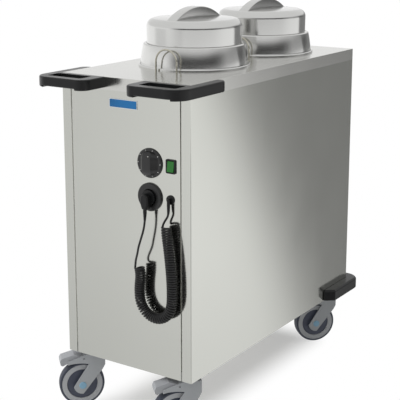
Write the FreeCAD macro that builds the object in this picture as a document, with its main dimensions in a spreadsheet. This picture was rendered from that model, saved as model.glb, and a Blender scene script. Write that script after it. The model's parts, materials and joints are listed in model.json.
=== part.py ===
import FreeCAD, Part
import math
import os
import Sketcher

# Heated plate dispenser: a two-tube trolley cabinet on four swivel castors, with a sprung plate
# platform and a domed lid for each tube, push handles, rear corner bumpers and a parked curly cord.
# +Z is up, the control side faces -Y, and the origin is on the floor at the middle of the footprint.

# Driving sizes in millimetres, and angles in degrees
SIZES = {
    # cabinet and sheet metal
    "cabinet_width": 404,
    "cabinet_length": 878,
    "cabinet_height": 930,
    "castor_height": 165,
    "sheet": 1.5,
    "bend_radius": 2,
    "rim_drop": 33,
    "panel_return": 28,
    "panel_groove": 4,
    "panel_fold": 14,
    "tray_lip": 25,
    "post_side": 30,
    "post_gap": 1,
    "post_wall": 2,
    "overrun": 10,
    # plate tubes and what they hold
    "tube_setback": 313,
    "tube_pitch": 358.5,
    "tube_radius": 138,
    "tube_wall": 1.5,
    "tube_depth": 680,
    "tube_floor": 2,
    "tube_flange": 7,
    "tube_fit": 0.4,
    "guide_radius": 3,
    "guide_circle": 131.5,
    "guide_drop": 30,
    "heater_inner": 60,
    "heater_outer": 110,
    "heater_thickness": 8,
    "platform_radius": 126,
    "platform_sheet": 2,
    "platform_skirt": 16,
    "platform_round": 5,
    "platform_drop": 40,
    "spring_radius": 30,
    "spring_wire": 5,
    # lids
    "lid_sheet": 1.2,
    "lid_rim_radius": 154,
    "lid_rim_height": 8,
    "lid_rim_round": 4,
    "lid_wall_radius": 147.5,
    "lid_wall_top_radius": 143.5,
    "lid_step_height": 56,
    "lid_bead": 5,
    "lid_dome_radius": 133,
    "lid_dome_height": 129,
    "lid_shoulder": 25,
    "grip_length": 214,
    "grip_width": 30,
    "grip_rise": 31,
    # wire stop loops
    "loop_span": 66,
    "loop_height": 60,
    "loop_wire": 5,
    "loop_aside": 19,
    "loop_ahead": 158,
    # push handles
    "handle_reach": 85,
    "handle_side": 27,
    "handle_tail": 122,
    "handle_tail_round": 20,
    "handle_height": 28,
    "handle_inset": 60,
    "handle_arm": 30,
    "handle_bar": 25,
    "handle_flange": 15,
    "handle_outer_round": 45,
    "handle_inner_round": 28,
    "handle_gap_round": 6,
    "handle_bar_lift": 4,
    "handle_edge": 4,
    # corner bumpers
    "bumper_reach": 42,
    "bumper_side": 30,
    "bumper_run": 154,
    "bumper_wrap": 110,
    "bumper_nose": 4,
    "bumper_taper": 21,
    "bumper_round": 40,
    "bumper_lift": 0,
    "bumper_height": 34,
    "bumper_slope": 5,
    "bumper_edge": 3,
    # thermostat
    "control_inset": 123,
    "knob_z": 725,
    "knob_gap": 0.6,
    "skirt_radius": 38.5,
    "skirt_rim": 5,
    "skirt_crown": 8,
    "skirt_edge": 2,
    "wedge_foot": 46,
    "wedge_crest": 7,
    "wedge_rise": 26,
    "wedge_ball": 33,
    "spindle_radius": 3,
    "spindle_length": 16,
    "thermostat_radius": 21,
    "thermostat_depth": 34,
    "bush_radius": 6,
    "turn_fit": 0.05,
    # rocker switch
    "switch_inset": 59,
    "switch_z": 724,
    "switch_width": 29.5,
    "switch_height": 36,
    "switch_bezel": 3,
    "switch_corner": 4,
    "switch_body_width": 26,
    "switch_body_height": 32,
    "switch_body_depth": 24,
    "rocker_width": 19.4,
    "rocker_height": 26.6,
    "rocker_high": 6,
    "rocker_low": 2,
    "rocker_depth": 5,
    "rocker_gap": 0.4,
    "rocker_pin": 1.5,
    "rocker_pin_reach": 1.5,
    # parking socket and plug
    "socket_z": 638,
    "socket_radius": 36.5,
    "socket_rim": 6,
    "socket_round": 3,
    "socket_cup": 24,
    "socket_bore": 20.5,
    "socket_depth": 27,
    "plug_radius": 19.5,
    "plug_collar": 11,
    "plug_width": 23,
    "plug_foot": 13,
    "plug_neck": 13,
    "plug_drop": 27,
    "plug_reach": 30,
    "plug_edge": 4,
    "plug_relief_radius": 4.8,
    "plug_relief_drop": 36,
    "cord_out": 24,
    # cable gland and terminals
    "gland_inset": 61,
    "gland_z": 639,
    "gland_radius": 12,
    "gland_reach": 3,
    "gland_edge": 1.2,
    "gland_out": 9.5,
    "gland_snout": 4.2,
    "gland_drop": 13.5,
    "gland_stem": 8,
    "gland_stem_depth": 12,
    "hole_fit": 0.3,
    "terminal_width": 70,
    "terminal_height": 44,
    "terminal_depth": 32,
    "terminal_drop": 30,
    # cord
    "cord_diameter": 5.5,
    "curl_radius": 11.2,
    "curl_pitch": 6.2,
    "curl_runout": 12,
    # castors
    "castor_inset_x": 42,
    "castor_inset_y": 57,
    "castor_swivel": 47,
    "castor_trail": 38,
    "plate_width": 74,
    "plate_length": 90,
    "plate_thickness": 3,
    "race_radius": 26,
    "race_height": 9,
    "race_gap": 1,
    "king_radius": 6,
    "king_tail": 3,
    "wheel_clear": 23,
    "tyre_depth": 5.2,
    "tyre_width": 28,
    "tyre_round": 4.5,
    "hub_radius": 12,
    "hub_width": 38,
    "web_width": 20,
    "cover_radius": 42,
    "cover_thickness": 2,
    "cover_fit": 0.2,
    "axle_radius": 6,
    "cap_radius": 10,
    "cap_thickness": 2,
    "fork_width": 50,
    "fork_wall": 4,
    "fork_roof": 4,
    "leg_end_radius": 24.7,
    "arch_radius": 120,
    "brake_width": 39,
    "brake_pin": 2.5,
    "brake_pin_reach": 2.5,
    "brake_edge": 3,
}

# Side view of a castor fork and of its brake pedal, from the axle, in shares of the wheel radius
FORK_SHARES = {
    "lip_low": (-0.624, 0.992),
    "arch_end": (0.288, 0.976),
    "leg_back": (-0.389, -0.072),
    "leg_tip": (0.024, -0.394),
    "leg_front": (0.896, 0.704),
    "heel": (1.008, 0.912),
    "roof_end": (0.208, 1.432),
    "brow": (-0.192, 1.280),
    "lip_high": (-0.624, 1.136),
}
BRAKE_SHARES = [
    (0.144, 1.150), (0.144, 1.330), (-0.064, 1.352), (-0.352, 1.415), (-0.896, 1.275),
    (-0.960, 1.150), (-0.944, 0.985), (-0.860, 0.930), (-0.640, 1.020), (-0.224, 1.085),
]
BRAKE_PIVOT_SHARES = (0.080, 1.240)

# An arc of the cord takes this share of the shorter run beside it
ARC_SHARE = 0.45
GUIDE_COUNT = 3

doc = FreeCAD.newDocument("PlateDispenser")
AXIS_X = FreeCAD.Vector(1, 0, 0)
AXIS_Y = FreeCAD.Vector(0, 1, 0)
AXIS_Z = FreeCAD.Vector(0, 0, 1)
parts = {}


class Length:
    """A number together with the sheet formula that gives it."""

    def __init__(self, number, formula):
        self.number = float(number)
        self.formula = formula

    @staticmethod
    def of(value):
        """Wrap a plain number, and leave a Length as it is."""
        return value if isinstance(value, Length) else Length(value, f"({value:.12g})")

    def joined(self, sign, other, number):
        """The result of an operation on two lengths."""
        return Length(number, f"({self.formula} {sign} {other.formula})")

    def __add__(self, other):
        other = Length.of(other)
        return self.joined("+", other, self.number + other.number)

    def __sub__(self, other):
        other = Length.of(other)
        return self.joined("-", other, self.number - other.number)

    def __mul__(self, other):
        other = Length.of(other)
        return self.joined("*", other, self.number * other.number)

    def __truediv__(self, other):
        other = Length.of(other)
        return self.joined("/", other, self.number / other.number)

    def __neg__(self):
        return Length(-self.number, f"(0 - {self.formula})")

    def root(self):
        """The square root of this value."""
        return Length(math.sqrt(self.number), f"sqrt({self.formula})")


class Sheet:
    """The sizes of the document's spreadsheet, read as attributes."""

    def __init__(self):
        cells = doc.addObject("Spreadsheet::Sheet", "Sizes")
        for row, (name, value) in enumerate(SIZES.items(), 1):
            cells.set(f"A{row}", name)
            cells.set(f"B{row}", str(value))
            cells.setAlias(f"B{row}", name)
        doc.recompute()
        for name in SIZES:
            setattr(self, name, Length(cells.get(name), f"Sizes.{name}"))


size = Sheet()

# Planes and centres that several pieces share
half_width = size.cabinet_width / 2
front = -(size.cabinet_length + size.bumper_reach - size.handle_reach) / 2
rear = front + size.cabinet_length
top = size.cabinet_height
knob_x = half_width - size.control_inset
socket_x = half_width - size.control_inset
switch_x = half_width - size.switch_inset
gland_x = half_width - size.gland_inset
fork_top = size.castor_height - size.plate_thickness - size.race_height - size.race_gap
wheel_radius = (fork_top - size.fork_roof - size.wheel_clear) / 2
rim_foot = top - size.rim_drop
tube_places = {"front": front + size.tube_setback, "rear": front + size.tube_setback + size.tube_pitch}
tube_bottom = top - size.tube_depth
tube_inner = size.tube_radius - size.tube_wall
platform_top = top - size.platform_drop
castor_x = half_width - size.castor_inset_x
castor_places = {
    "front_left": (-castor_x, front + size.castor_inset_y),
    "front_right": (castor_x, front + size.castor_inset_y),
    "rear_left": (-castor_x, rear - size.castor_inset_y),
    "rear_right": (castor_x, rear - size.castor_inset_y),
}


def bind(item, prop, value):
    """Tie one property of an object to the sheet."""
    item.setExpression(prop, Length.of(value).formula)


def place(item, x=0, y=0, z=0, angle=0, axis=AXIS_Z):
    """Turn an object and put it at a place tied to the sheet."""
    item.Placement = FreeCAD.Placement(FreeCAD.Vector(), FreeCAD.Rotation(axis, angle))
    for letter, value in zip("xyz", (x, y, z)):
        bind(item, f"Placement.Base.{letter}", value)
    return item


def keep(item, label):
    """Register a finished sub-part under its node name."""
    item.Label = label
    parts[label] = item
    return item


def block(name, sizes, corner):
    """A box with its three sizes and its lowest corner tied to the sheet."""
    item = doc.addObject("Part::Box", name)
    for prop, value in zip(("Length", "Width", "Height"), sizes):
        bind(item, prop, value)
    return place(item, *corner)


def cylinder(name, radius, height, base, angle=0, axis=AXIS_Z):
    """A round bar from a base point, along +Z unless it is turned."""
    item = doc.addObject("Part::Cylinder", name)
    bind(item, "Radius", radius)
    bind(item, "Height", height)
    return place(item, *base, angle, axis)


def cut(name, base, tool):
    """One shape less another."""
    item = doc.addObject("Part::Cut", name)
    item.Base = base
    item.Tool = tool
    return item


def joined(name, shapes):
    """Several shapes grown into one piece."""
    item = doc.addObject("Part::MultiFuse", name)
    item.Shapes = shapes
    item.Refine = True
    return item


def group(name, shapes):
    """Separate pieces kept together under one name."""
    item = doc.addObject("Part::Compound", name)
    item.Links = shapes
    return item


def ring(name, inner, outer, height, base, angle=0, axis=AXIS_Z):
    """A round bar with a bore right through it."""
    bar = cylinder(name + "_outer", outer, height, base, angle, axis)
    bore = cylinder(name + "_bore", inner, height, base, angle, axis)
    return cut(name, bar, bore)


def new_body(label):
    """An empty body under its node name."""
    return keep(doc.addObject("PartDesign::Body", label), label)


def sketch_on(body, role, lift=0):
    """A sketch on one of the body's own origin planes, lifted along that plane's normal."""
    plane = next(item for item in body.Origin.OriginFeatures if item.Role == role)
    sketch = body.newObject("Sketcher::SketchObject", body.Name + "_sketch")
    sketch.AttachmentSupport = (plane, [""])
    sketch.MapMode = "FlatFace"
    bind(sketch, "AttachmentOffset.Base.z", lift)
    return sketch


def dimension(sketch, kind, where, value):
    """A driving dimension of a sketch, tied to the sheet."""
    value = Length.of(value)
    index = sketch.addConstraint(Sketcher.Constraint(kind, *where, value.number))
    sketch.setExpression(f"Constraints[{index}]", value.formula)


def arc_between(start, end, radius):
    """The short arc from start to end, counter-clockwise for a positive radius."""
    if radius < 0:
        return arc_between(end, start, -radius)
    chord = end - start
    height = math.sqrt(max(radius ** 2 - chord.Length ** 2 / 4, 0))
    left = FreeCAD.Vector(-chord.y, chord.x, 0).normalize()
    centre = (start + end) / 2 + left * height
    angles = [math.atan2(point.y - centre.y, point.x - centre.x) for point in (start, end)]
    return Part.ArcOfCircle(Part.Circle(centre, AXIS_Z, radius), *angles)


def outline(sketch, corners):
    """Draw a closed outline and hold each corner by two dimensions.

    A corner is (x, y), or (x, y, radius) where the side after it is an arc. A positive radius bends that
    side counter-clockwise and a negative one clockwise.
    """
    corners = [tuple(Length.of(value) for value in corner) for corner in corners]
    points = [FreeCAD.Vector(corner[0].number, corner[1].number, 0) for corner in corners]
    first = sketch.GeometryCount
    ends = []
    for index, corner in enumerate(corners):
        start, end = points[index], points[(index + 1) % len(points)]
        bend = corner[2].number if len(corner) > 2 else 0
        side = arc_between(start, end, bend) if bend else Part.LineSegment(start, end)
        sketch.addGeometry(side, False)
        ends.append((2, 1) if bend < 0 else (1, 2))
    count = len(corners)
    for index, corner in enumerate(corners):
        here, after = first + index, first + (index + 1) % count
        leaving, arriving = ends[index][1], ends[(index + 1) % count][0]
        sketch.addConstraint(Sketcher.Constraint("Coincident", here, leaving, after, arriving))
        dimension(sketch, "DistanceX", (-1, 1, here, ends[index][0]), corner[0])
        dimension(sketch, "DistanceY", (-1, 1, here, ends[index][0]), corner[1])
        if len(corner) > 2:
            dimension(sketch, "Radius", (here,), corner[2] if corner[2].number > 0 else -corner[2])


def rectangle(sketch, low_x, low_y, high_x, high_y):
    """A plain rectangle between two corners."""
    outline(sketch, [(low_x, low_y), (high_x, low_y), (high_x, high_y), (low_x, high_y)])


def rounded_rectangle(sketch, low_x, low_y, high_x, high_y, radius):
    """A rectangle with four round corners."""
    outline(sketch, [
        (low_x + radius, low_y), (high_x - radius, low_y, radius),
        (high_x, low_y + radius), (high_x, high_y - radius, radius),
        (high_x - radius, high_y), (low_x + radius, high_y, radius),
        (low_x, high_y - radius), (low_x, low_y + radius, radius),
    ])


def circle(sketch, x, y, radius):
    """A circle held by its centre and radius."""
    x, y, radius = Length.of(x), Length.of(y), Length.of(radius)
    centre = FreeCAD.Vector(x.number, y.number, 0)
    index = sketch.addGeometry(Part.Circle(centre, AXIS_Z, radius.number), False)
    dimension(sketch, "DistanceX", (-1, 1, index, 3), x)
    dimension(sketch, "DistanceY", (-1, 1, index, 3), y)
    dimension(sketch, "Radius", (index,), radius)


def pad(body, sketch, length, symmetric=False):
    """Grow a sketch along its normal, or to both sides of it."""
    feature = body.newObject("PartDesign::Pad", body.Name + "_pad")
    feature.Profile = sketch
    bind(feature, "Length", length)
    feature.SideType = "Symmetric" if symmetric else "One side"
    doc.recompute()
    return feature


def pocket(body, sketch, length, symmetric=False, along_normal=False):
    """Cut a sketch into the body, and make sure that the cut takes something away."""
    before = body.Shape.Volume
    feature = body.newObject("PartDesign::Pocket", body.Name + "_pocket")
    feature.Profile = sketch
    bind(feature, "Length", length)
    feature.SideType = "Symmetric" if symmetric else "One side"
    feature.Reversed = along_normal
    doc.recompute()
    if body.Shape.Volume >= before:
        raise RuntimeError(f"a cut in {body.Label} takes nothing away")
    return feature


def revolve(body, corners, role="XZ_Plane"):
    """Turn an outline round the upright axis of its sketch."""
    sketch = sketch_on(body, role)
    outline(sketch, corners)
    feature = body.newObject("PartDesign::Revolution", body.Name + "_turned")
    feature.Profile = sketch
    feature.ReferenceAxis = (sketch, ["V_Axis"])
    doc.recompute()
    return feature


def dress(body, kind, prop, amount, chosen):
    """Round or chamfer the edges of the body that the test picks."""
    base = body.Tip
    names = [f"Edge{number}" for number, edge in enumerate(base.Shape.Edges, 1) if chosen(edge)]
    feature = body.newObject("PartDesign::" + kind, body.Name + "_dress")
    feature.Base = (base, names)
    bind(feature, prop, amount)
    doc.recompute()
    return feature


def upright(edge):
    """Whether an edge is a straight vertical one."""
    box = edge.BoundBox
    return box.XLength < 1e-6 and box.YLength < 1e-6


def level_at(edge, height):
    """Whether an edge lies flat at a height."""
    box = edge.BoundBox
    return abs(box.ZMin - height.number) < 1e-6 and abs(box.ZMax - height.number) < 1e-6


# Cabinet sheet metal

def make_base_tray():
    """The folded floor of the cabinet, which carries the castors and the corner posts."""
    width = size.cabinet_width - size.sheet * 2
    length = size.cabinet_length - size.sheet * 2
    corner = (-width / 2, front + size.sheet, size.castor_height)
    outer = block("tray_outer", (width, length, size.tray_lip), corner)
    inner = block(
        "tray_inner",
        (width - size.sheet * 2, length - size.sheet * 2, size.tray_lip),
        (size.sheet - width / 2, front + size.sheet * 2, size.castor_height + size.sheet),
    )
    keep(cut("base_tray", outer, inner), "base_tray")


def make_frame_posts():
    """Four square-tube uprights behind the panel grooves, from the tray to the cover."""
    floor = size.castor_height + size.sheet
    height = top - size.sheet - floor
    inset = size.sheet * 2
    wide = size.panel_return + size.panel_groove - size.post_gap - inset
    deep = size.post_side
    wall = size.post_wall
    posts = []
    for mark, (side, end) in enumerate(((-1, 0), (1, 0), (-1, 1), (1, 1))):
        x = half_width - inset - wide if side > 0 else inset - half_width
        y = rear - inset - deep if end else front + inset
        outer = block(f"post_{mark}", (wide, deep, height), (x, y, floor))
        bore_sides = (wide - wall * 2, deep - wall * 2, height)
        bore = block(f"post_bore_{mark}", bore_sides, (x + wall, y + wall, floor))
        posts.append(cut(f"post_tube_{mark}", outer, bore))
    keep(group("frame_posts", posts), "frame_posts")


def make_side_panel(label, side):
    """One long side with its two corner returns, bent from a single sheet."""
    body = new_body(label)
    sketch = sketch_on(body, "XY_Plane", size.castor_height)
    outer = half_width * side
    inner = (half_width - size.sheet) * side
    lip = (half_width - size.panel_return) * side
    outline(sketch, [
        (outer, front), (outer, rear), (lip, rear), (lip, rear - size.sheet),
        (inner, rear - size.sheet), (inner, front + size.sheet), (lip, front + size.sheet), (lip, front),
    ])
    pad(body, sketch, rim_foot - size.castor_height)
    corner = abs(outer.number)
    dress(body, "Fillet", "Radius", size.bend_radius,
          lambda edge: upright(edge) and abs(abs(edge.BoundBox.XMin) - corner) < 1e-6)


def end_panel(label, face, inward):
    """The folded panel that closes one end of the cabinet between the corner returns."""
    body = new_body(label)
    sketch = sketch_on(body, "XY_Plane", size.castor_height)
    edge = half_width - size.panel_return - size.panel_groove
    fold = face + size.panel_fold * inward
    back = face + size.sheet * inward
    clear = size.castor_height + size.tray_lip
    outline(sketch, [
        (-edge, face), (edge, face), (edge, fold), (edge - size.sheet, fold),
        (edge - size.sheet, back), (size.sheet - edge, back), (size.sheet - edge, fold), (-edge, fold),
    ])
    pad(body, sketch, rim_foot - size.castor_height)
    notch = sketch_on(body, "XY_Plane", size.castor_height)
    rectangle(notch, -edge - size.overrun, back, edge + size.overrun, fold + size.overrun * inward)
    pocket(body, notch, clear - size.castor_height, along_normal=True)
    return body


def make_front_panel():
    """The control panel, with its openings for thermostat, switch, parking socket and gland."""
    body = end_panel("front_panel", front, 1)
    holes = sketch_on(body, "XZ_Plane", -front)
    circle(holes, knob_x, size.knob_z, size.bush_radius + size.hole_fit)
    circle(holes, socket_x, size.socket_z, size.socket_cup + size.hole_fit)
    circle(holes, gland_x, size.gland_z, size.gland_stem + size.hole_fit)
    wide = size.switch_body_width / 2 + size.hole_fit
    high = size.switch_body_height / 2 + size.hole_fit
    rectangle(holes, switch_x - wide, size.switch_z - high, switch_x + wide, size.switch_z + high)
    pocket(body, holes, size.sheet)


def make_top_cover():
    """The top with its turned-down rim and the two round openings for the tubes."""
    body = new_body("top_cover")
    sketch = sketch_on(body, "XY_Plane", rim_foot)
    rounded_rectangle(sketch, -half_width, front, half_width, rear, size.bend_radius)
    pad(body, sketch, size.rim_drop)
    hollow = sketch_on(body, "XY_Plane", rim_foot)
    inside = half_width - size.sheet
    rectangle(hollow, -inside, front + size.sheet, inside, rear - size.sheet)
    pocket(body, hollow, size.rim_drop - size.sheet, along_normal=True)
    openings = sketch_on(body, "XY_Plane", top)
    for y in tube_places.values():
        circle(openings, 0, y, size.tube_radius + size.tube_fit)
    pocket(body, openings, size.sheet)
    dress(body, "Fillet", "Radius", size.sheet / 2,
          lambda edge: level_at(edge, top) and edge.BoundBox.YLength < size.cabinet_length.number
          and abs(edge.BoundBox.XMin + size.cabinet_width.number / 2) < size.bend_radius.number + 1e-6)


# Tubes, heaters, springs and platforms

def make_tube(label, y):
    """A plate tube hung by its flange on the cover, closed by a floor."""
    body = new_body(label)
    rim = top + size.sheet
    revolve(body, [
        (0, tube_bottom), (size.tube_radius, tube_bottom), (size.tube_radius, top),
        (size.tube_radius + size.tube_flange, top), (size.tube_radius + size.tube_flange, rim),
        (tube_inner, rim), (tube_inner, tube_bottom + size.tube_floor), (0, tube_bottom + size.tube_floor),
    ])
    place(body, 0, y, 0)


def make_guides(label, y):
    """Upright rods that centre the plates, standing on the tube's floor."""
    floor = tube_bottom + size.tube_floor
    rods = []
    for number in range(GUIDE_COUNT):
        angle = 2 * math.pi * number / GUIDE_COUNT + math.pi / 2
        x = size.guide_circle * math.cos(angle)
        rod = cylinder(
            f"{label}_{number}", size.guide_radius, top - size.guide_drop - floor,
            (x, y + size.guide_circle * math.sin(angle), floor),
        )
        rods.append(rod)
    keep(group(label, rods), label)


def make_heater(label, y):
    """A ring heater lying on the tube's floor."""
    floor = tube_bottom + size.tube_floor
    heater = ring(label, size.heater_inner, size.heater_outer, size.heater_thickness, (0, y, floor))
    keep(heater, label)


def make_spring(label, y):
    """The outer form of the lift spring between the tube's floor and the platform."""
    floor = tube_bottom + size.tube_floor
    height = platform_top - size.platform_sheet - floor
    spring = ring(label, size.spring_radius - size.spring_wire, size.spring_radius, height, (0, y, floor))
    keep(spring, label)


def make_platform(label, y):
    """The plate platform: a pressed disc with a turned-down skirt."""
    body = new_body(label)
    radius, sheet, bend = size.platform_radius, size.platform_sheet, size.platform_round
    foot = platform_top - size.platform_skirt
    revolve(body, [
        (0, platform_top - sheet), (radius - bend, platform_top - sheet, -(bend - sheet)),
        (radius - sheet, platform_top - bend), (radius - sheet, foot), (radius, foot),
        (radius, platform_top - bend, bend), (radius - bend, platform_top), (0, platform_top),
    ])
    place(body, 0, y, 0)


# Lids and stop loops

def make_lid(label, y):
    """A one-piece pressed lid: rolled rim, tapered wall, bead, dome and arched grip ridge."""
    body = new_body(label)
    sheet, rim, curl = size.lid_sheet, size.lid_rim_radius, size.lid_rim_round
    low, high = size.lid_rim_height, size.lid_dome_height
    step, bead = size.lid_step_height, size.lid_bead
    wall, wall_top = size.lid_wall_radius, size.lid_wall_top_radius
    dome, shoulder = size.lid_dome_radius, size.lid_shoulder
    revolve(body, [
        (rim, 0), (rim, low - curl, curl), (rim - curl, low), (wall, low),
        (wall_top, step, bead), (wall_top - bead, step + bead), (dome, step + bead),
        (dome, high - shoulder, shoulder), (dome - shoulder, high), (0, high),
        (0, high - sheet), (dome - shoulder, high - sheet, -(shoulder - sheet)),
        (dome - sheet, high - shoulder), (dome - sheet, step + bead - sheet),
        (wall_top - bead, step + bead - sheet, -(bead - sheet)), (wall_top - sheet, step),
        (wall - sheet, low - sheet), (rim - curl, low - sheet, -(curl - sheet)),
        (rim - sheet, low - curl), (rim - sheet, 0),
    ])
    half, rise = size.grip_length / 2, size.grip_rise
    arch = (half * half + rise * rise) / (rise * 2)
    ridge = sketch_on(body, "YZ_Plane")
    outline(ridge, [(half, high, arch), (-half, high)])
    pad(body, ridge, size.grip_width, symmetric=True)
    inside = ((arch - sheet) * (arch - sheet) - (arch - rise) * (arch - rise)).root()
    hollow = sketch_on(body, "YZ_Plane")
    foot = high - sheet * 2
    outline(hollow, [(inside, high, arch - sheet), (-inside, high), (-inside, foot), (inside, foot)])
    pocket(body, hollow, size.grip_width - sheet * 2, symmetric=True)
    place(body, 0, y, top)


def make_stop_loop(label, y):
    """A bent wire loop on the cover in front of a lid."""
    wire = size.loop_wire / 2
    bend = size.loop_span / 2
    leg = size.loop_height - bend - wire
    centre_y = y - size.loop_ahead
    arch = doc.addObject("Part::Torus", label + "_arch")
    bind(arch, "Radius1", bend)
    bind(arch, "Radius2", wire)
    arch.Angle3 = 180
    place(arch, size.loop_aside, centre_y, top + leg, 90, AXIS_X)
    legs = [
        cylinder(f"{label}_leg_{side}", wire, leg, (size.loop_aside + bend * side, centre_y, top))
        for side in (-1, 1)
    ]
    keep(joined(label, [arch, *legs]), label)


# Handles and bumpers

def make_handle(label, side):
    """A moulded push handle round one front corner, with a finger gap behind its grip bar."""
    body = new_body(label)
    low = top - size.handle_height
    outer = half_width + size.handle_side
    face = front - size.handle_reach
    tail = front + size.handle_tail
    inset, tail_round = size.handle_inset, size.handle_tail_round
    big, small = size.handle_outer_round, size.handle_inner_round
    sketch = sketch_on(body, "XY_Plane", low)
    outline(sketch, [
        (half_width * side, front), (half_width * side, tail),
        ((outer - tail_round) * side, tail, tail_round * -side), (outer * side, tail - tail_round),
        (outer * side, face + big, big * -side), ((outer - big) * side, face),
        ((inset + small) * side, face, small * -side), (inset * side, face + small), (inset * side, front),
    ])
    pad(body, sketch, size.handle_height)
    near, far = inset + size.handle_arm, outer - size.handle_arm
    back, bar = front - size.handle_flange, face + size.handle_bar
    ends = sorted((near * side, far * side), key=lambda value: value.number)
    gap = sketch_on(body, "XY_Plane", low)
    rounded_rectangle(gap, ends[0], bar, ends[1], back, size.handle_gap_round)
    pocket(body, gap, size.handle_height, along_normal=True)
    under = sketch_on(body, "XY_Plane", low)
    rectangle(under, ends[0], face - size.overrun, ends[1], bar + size.handle_gap_round)
    pocket(body, under, size.handle_bar_lift, along_normal=True)
    inside = half_width.number + 1e-6

    def outside_edge(edge):
        centre = edge.CenterOfMass
        free = abs(centre.x) > inside or centre.y < front.number - 1e-6
        rim = level_at(edge, top) or level_at(edge, low) or level_at(edge, low + size.handle_bar_lift)
        box = edge.BoundBox
        within = near.number - 1e-6 < abs(centre.x) < far.number + 1e-6
        on_gap = box.YMax > bar.number - 1e-6 and within
        at_arm = box.YLength > 1e-6 and box.XLength < 1e-6 and within
        return free and rim and not on_gap and not at_arm

    dress(body, "Fillet", "Radius", size.handle_edge, outside_edge)


def make_bumper(label, side):
    """A moulded bumper round one rear corner, with tapered ends and a sloping top edge."""
    body = new_body(label)
    low = size.castor_height + size.bumper_lift
    outer = half_width + size.bumper_side
    back = rear + size.bumper_reach
    nose, taper, bend = size.bumper_nose, size.bumper_taper, size.bumper_round
    start = rear - size.bumper_run
    end = half_width - size.bumper_wrap
    sketch = sketch_on(body, "XY_Plane", low)
    outline(sketch, [
        (half_width * side, start), ((half_width + nose) * side, start), (outer * side, start + taper),
        (outer * side, back - bend, bend * side), ((outer - bend) * side, back),
        ((end + taper) * side, back), (end * side, rear + nose), (end * side, rear),
        (half_width * side, rear),
    ])
    pad(body, sketch, size.bumper_height)
    lid = low + size.bumper_height
    skin = half_width.number + size.sheet.number
    stern = rear.number + size.sheet.number

    def outer_rim(edge, height):
        centre = edge.CenterOfMass
        return level_at(edge, height) and (abs(centre.x) > skin or centre.y > stern)

    dress(body, "Chamfer", "Size", size.bumper_slope, lambda edge: outer_rim(edge, lid))
    dress(body, "Fillet", "Radius", size.bumper_edge, lambda edge: outer_rim(edge, low))


# Controls

def make_thermostat_body():
    """The thermostat behind the panel, with the bush that carries the knob's spindle."""
    body = new_body("thermostat_body")
    bore = size.spindle_radius + size.turn_fit
    revolve(body, [
        (bore, 0), (size.bush_radius, 0), (size.bush_radius, size.sheet),
        (size.thermostat_radius, size.sheet),
        (size.thermostat_radius, size.thermostat_depth), (0, size.thermostat_depth),
        (0, size.spindle_length + size.sheet), (bore, size.spindle_length + size.sheet),
    ], "XY_Plane")
    place(body, knob_x, front, size.knob_z)


def make_thermostat_knob():
    """A round skirt with an upright wedge grip, turning on its spindle in the bush."""
    axis_turn = (90, AXIS_X)
    face = front - size.knob_gap
    x, z = knob_x, size.knob_z
    skirt = doc.addObject("Part::Cylinder", "skirt_disc")
    bind(skirt, "Radius", size.skirt_radius)
    bind(skirt, "Height", size.skirt_rim)
    place(skirt, x, face, z, *axis_turn)
    edge = doc.addObject("Part::Fillet", "skirt_edge")
    doc.recompute()
    edge.Base = skirt
    rims = skirt.Shape.Edges
    front_edge = min(range(1, len(rims) + 1), key=lambda number: rims[number - 1].CenterOfMass.y)
    edge.Edges = [(front_edge, size.skirt_edge.number, size.skirt_edge.number)]
    crown = doc.addObject("Part::Cone", "skirt_crown")
    bind(crown, "Radius1", size.skirt_radius - size.skirt_edge * 2)
    bind(crown, "Radius2", size.skirt_radius - size.skirt_edge * 4)
    bind(crown, "Height", size.skirt_crown - size.skirt_rim)
    place(crown, x, face - size.skirt_rim, z, *axis_turn)
    wedge = doc.addObject("Part::Wedge", "wedge_bar")
    foot, crest = size.wedge_foot / 2, size.wedge_crest / 2
    for prop, value in {
        "Xmin": -foot, "Xmax": foot, "X2min": -crest, "X2max": crest,
        "Zmin": -size.wedge_ball, "Zmax": size.wedge_ball,
        "Z2min": -size.wedge_ball, "Z2max": size.wedge_ball,
        "Ymin": 0, "Ymax": size.wedge_rise,
    }.items():
        bind(wedge, prop, value)
    place(wedge, x, face - size.skirt_crown, z, 180)
    ball = doc.addObject("Part::Sphere", "wedge_ball")
    bind(ball, "Radius", size.wedge_ball)
    place(ball, x, face, z)
    grip = doc.addObject("Part::Common", "wedge_grip")
    grip.Base = wedge
    grip.Tool = ball
    spindle_end = (x, front + size.spindle_length, z)
    spindle = cylinder("spindle", size.spindle_radius, size.spindle_length, spindle_end, *axis_turn)
    stub = cylinder("spindle_stub", size.spindle_radius, size.knob_gap, (x, front, z), *axis_turn)
    keep(joined("thermostat_knob", [edge, crown, grip, spindle, stub]), "thermostat_knob")


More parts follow.
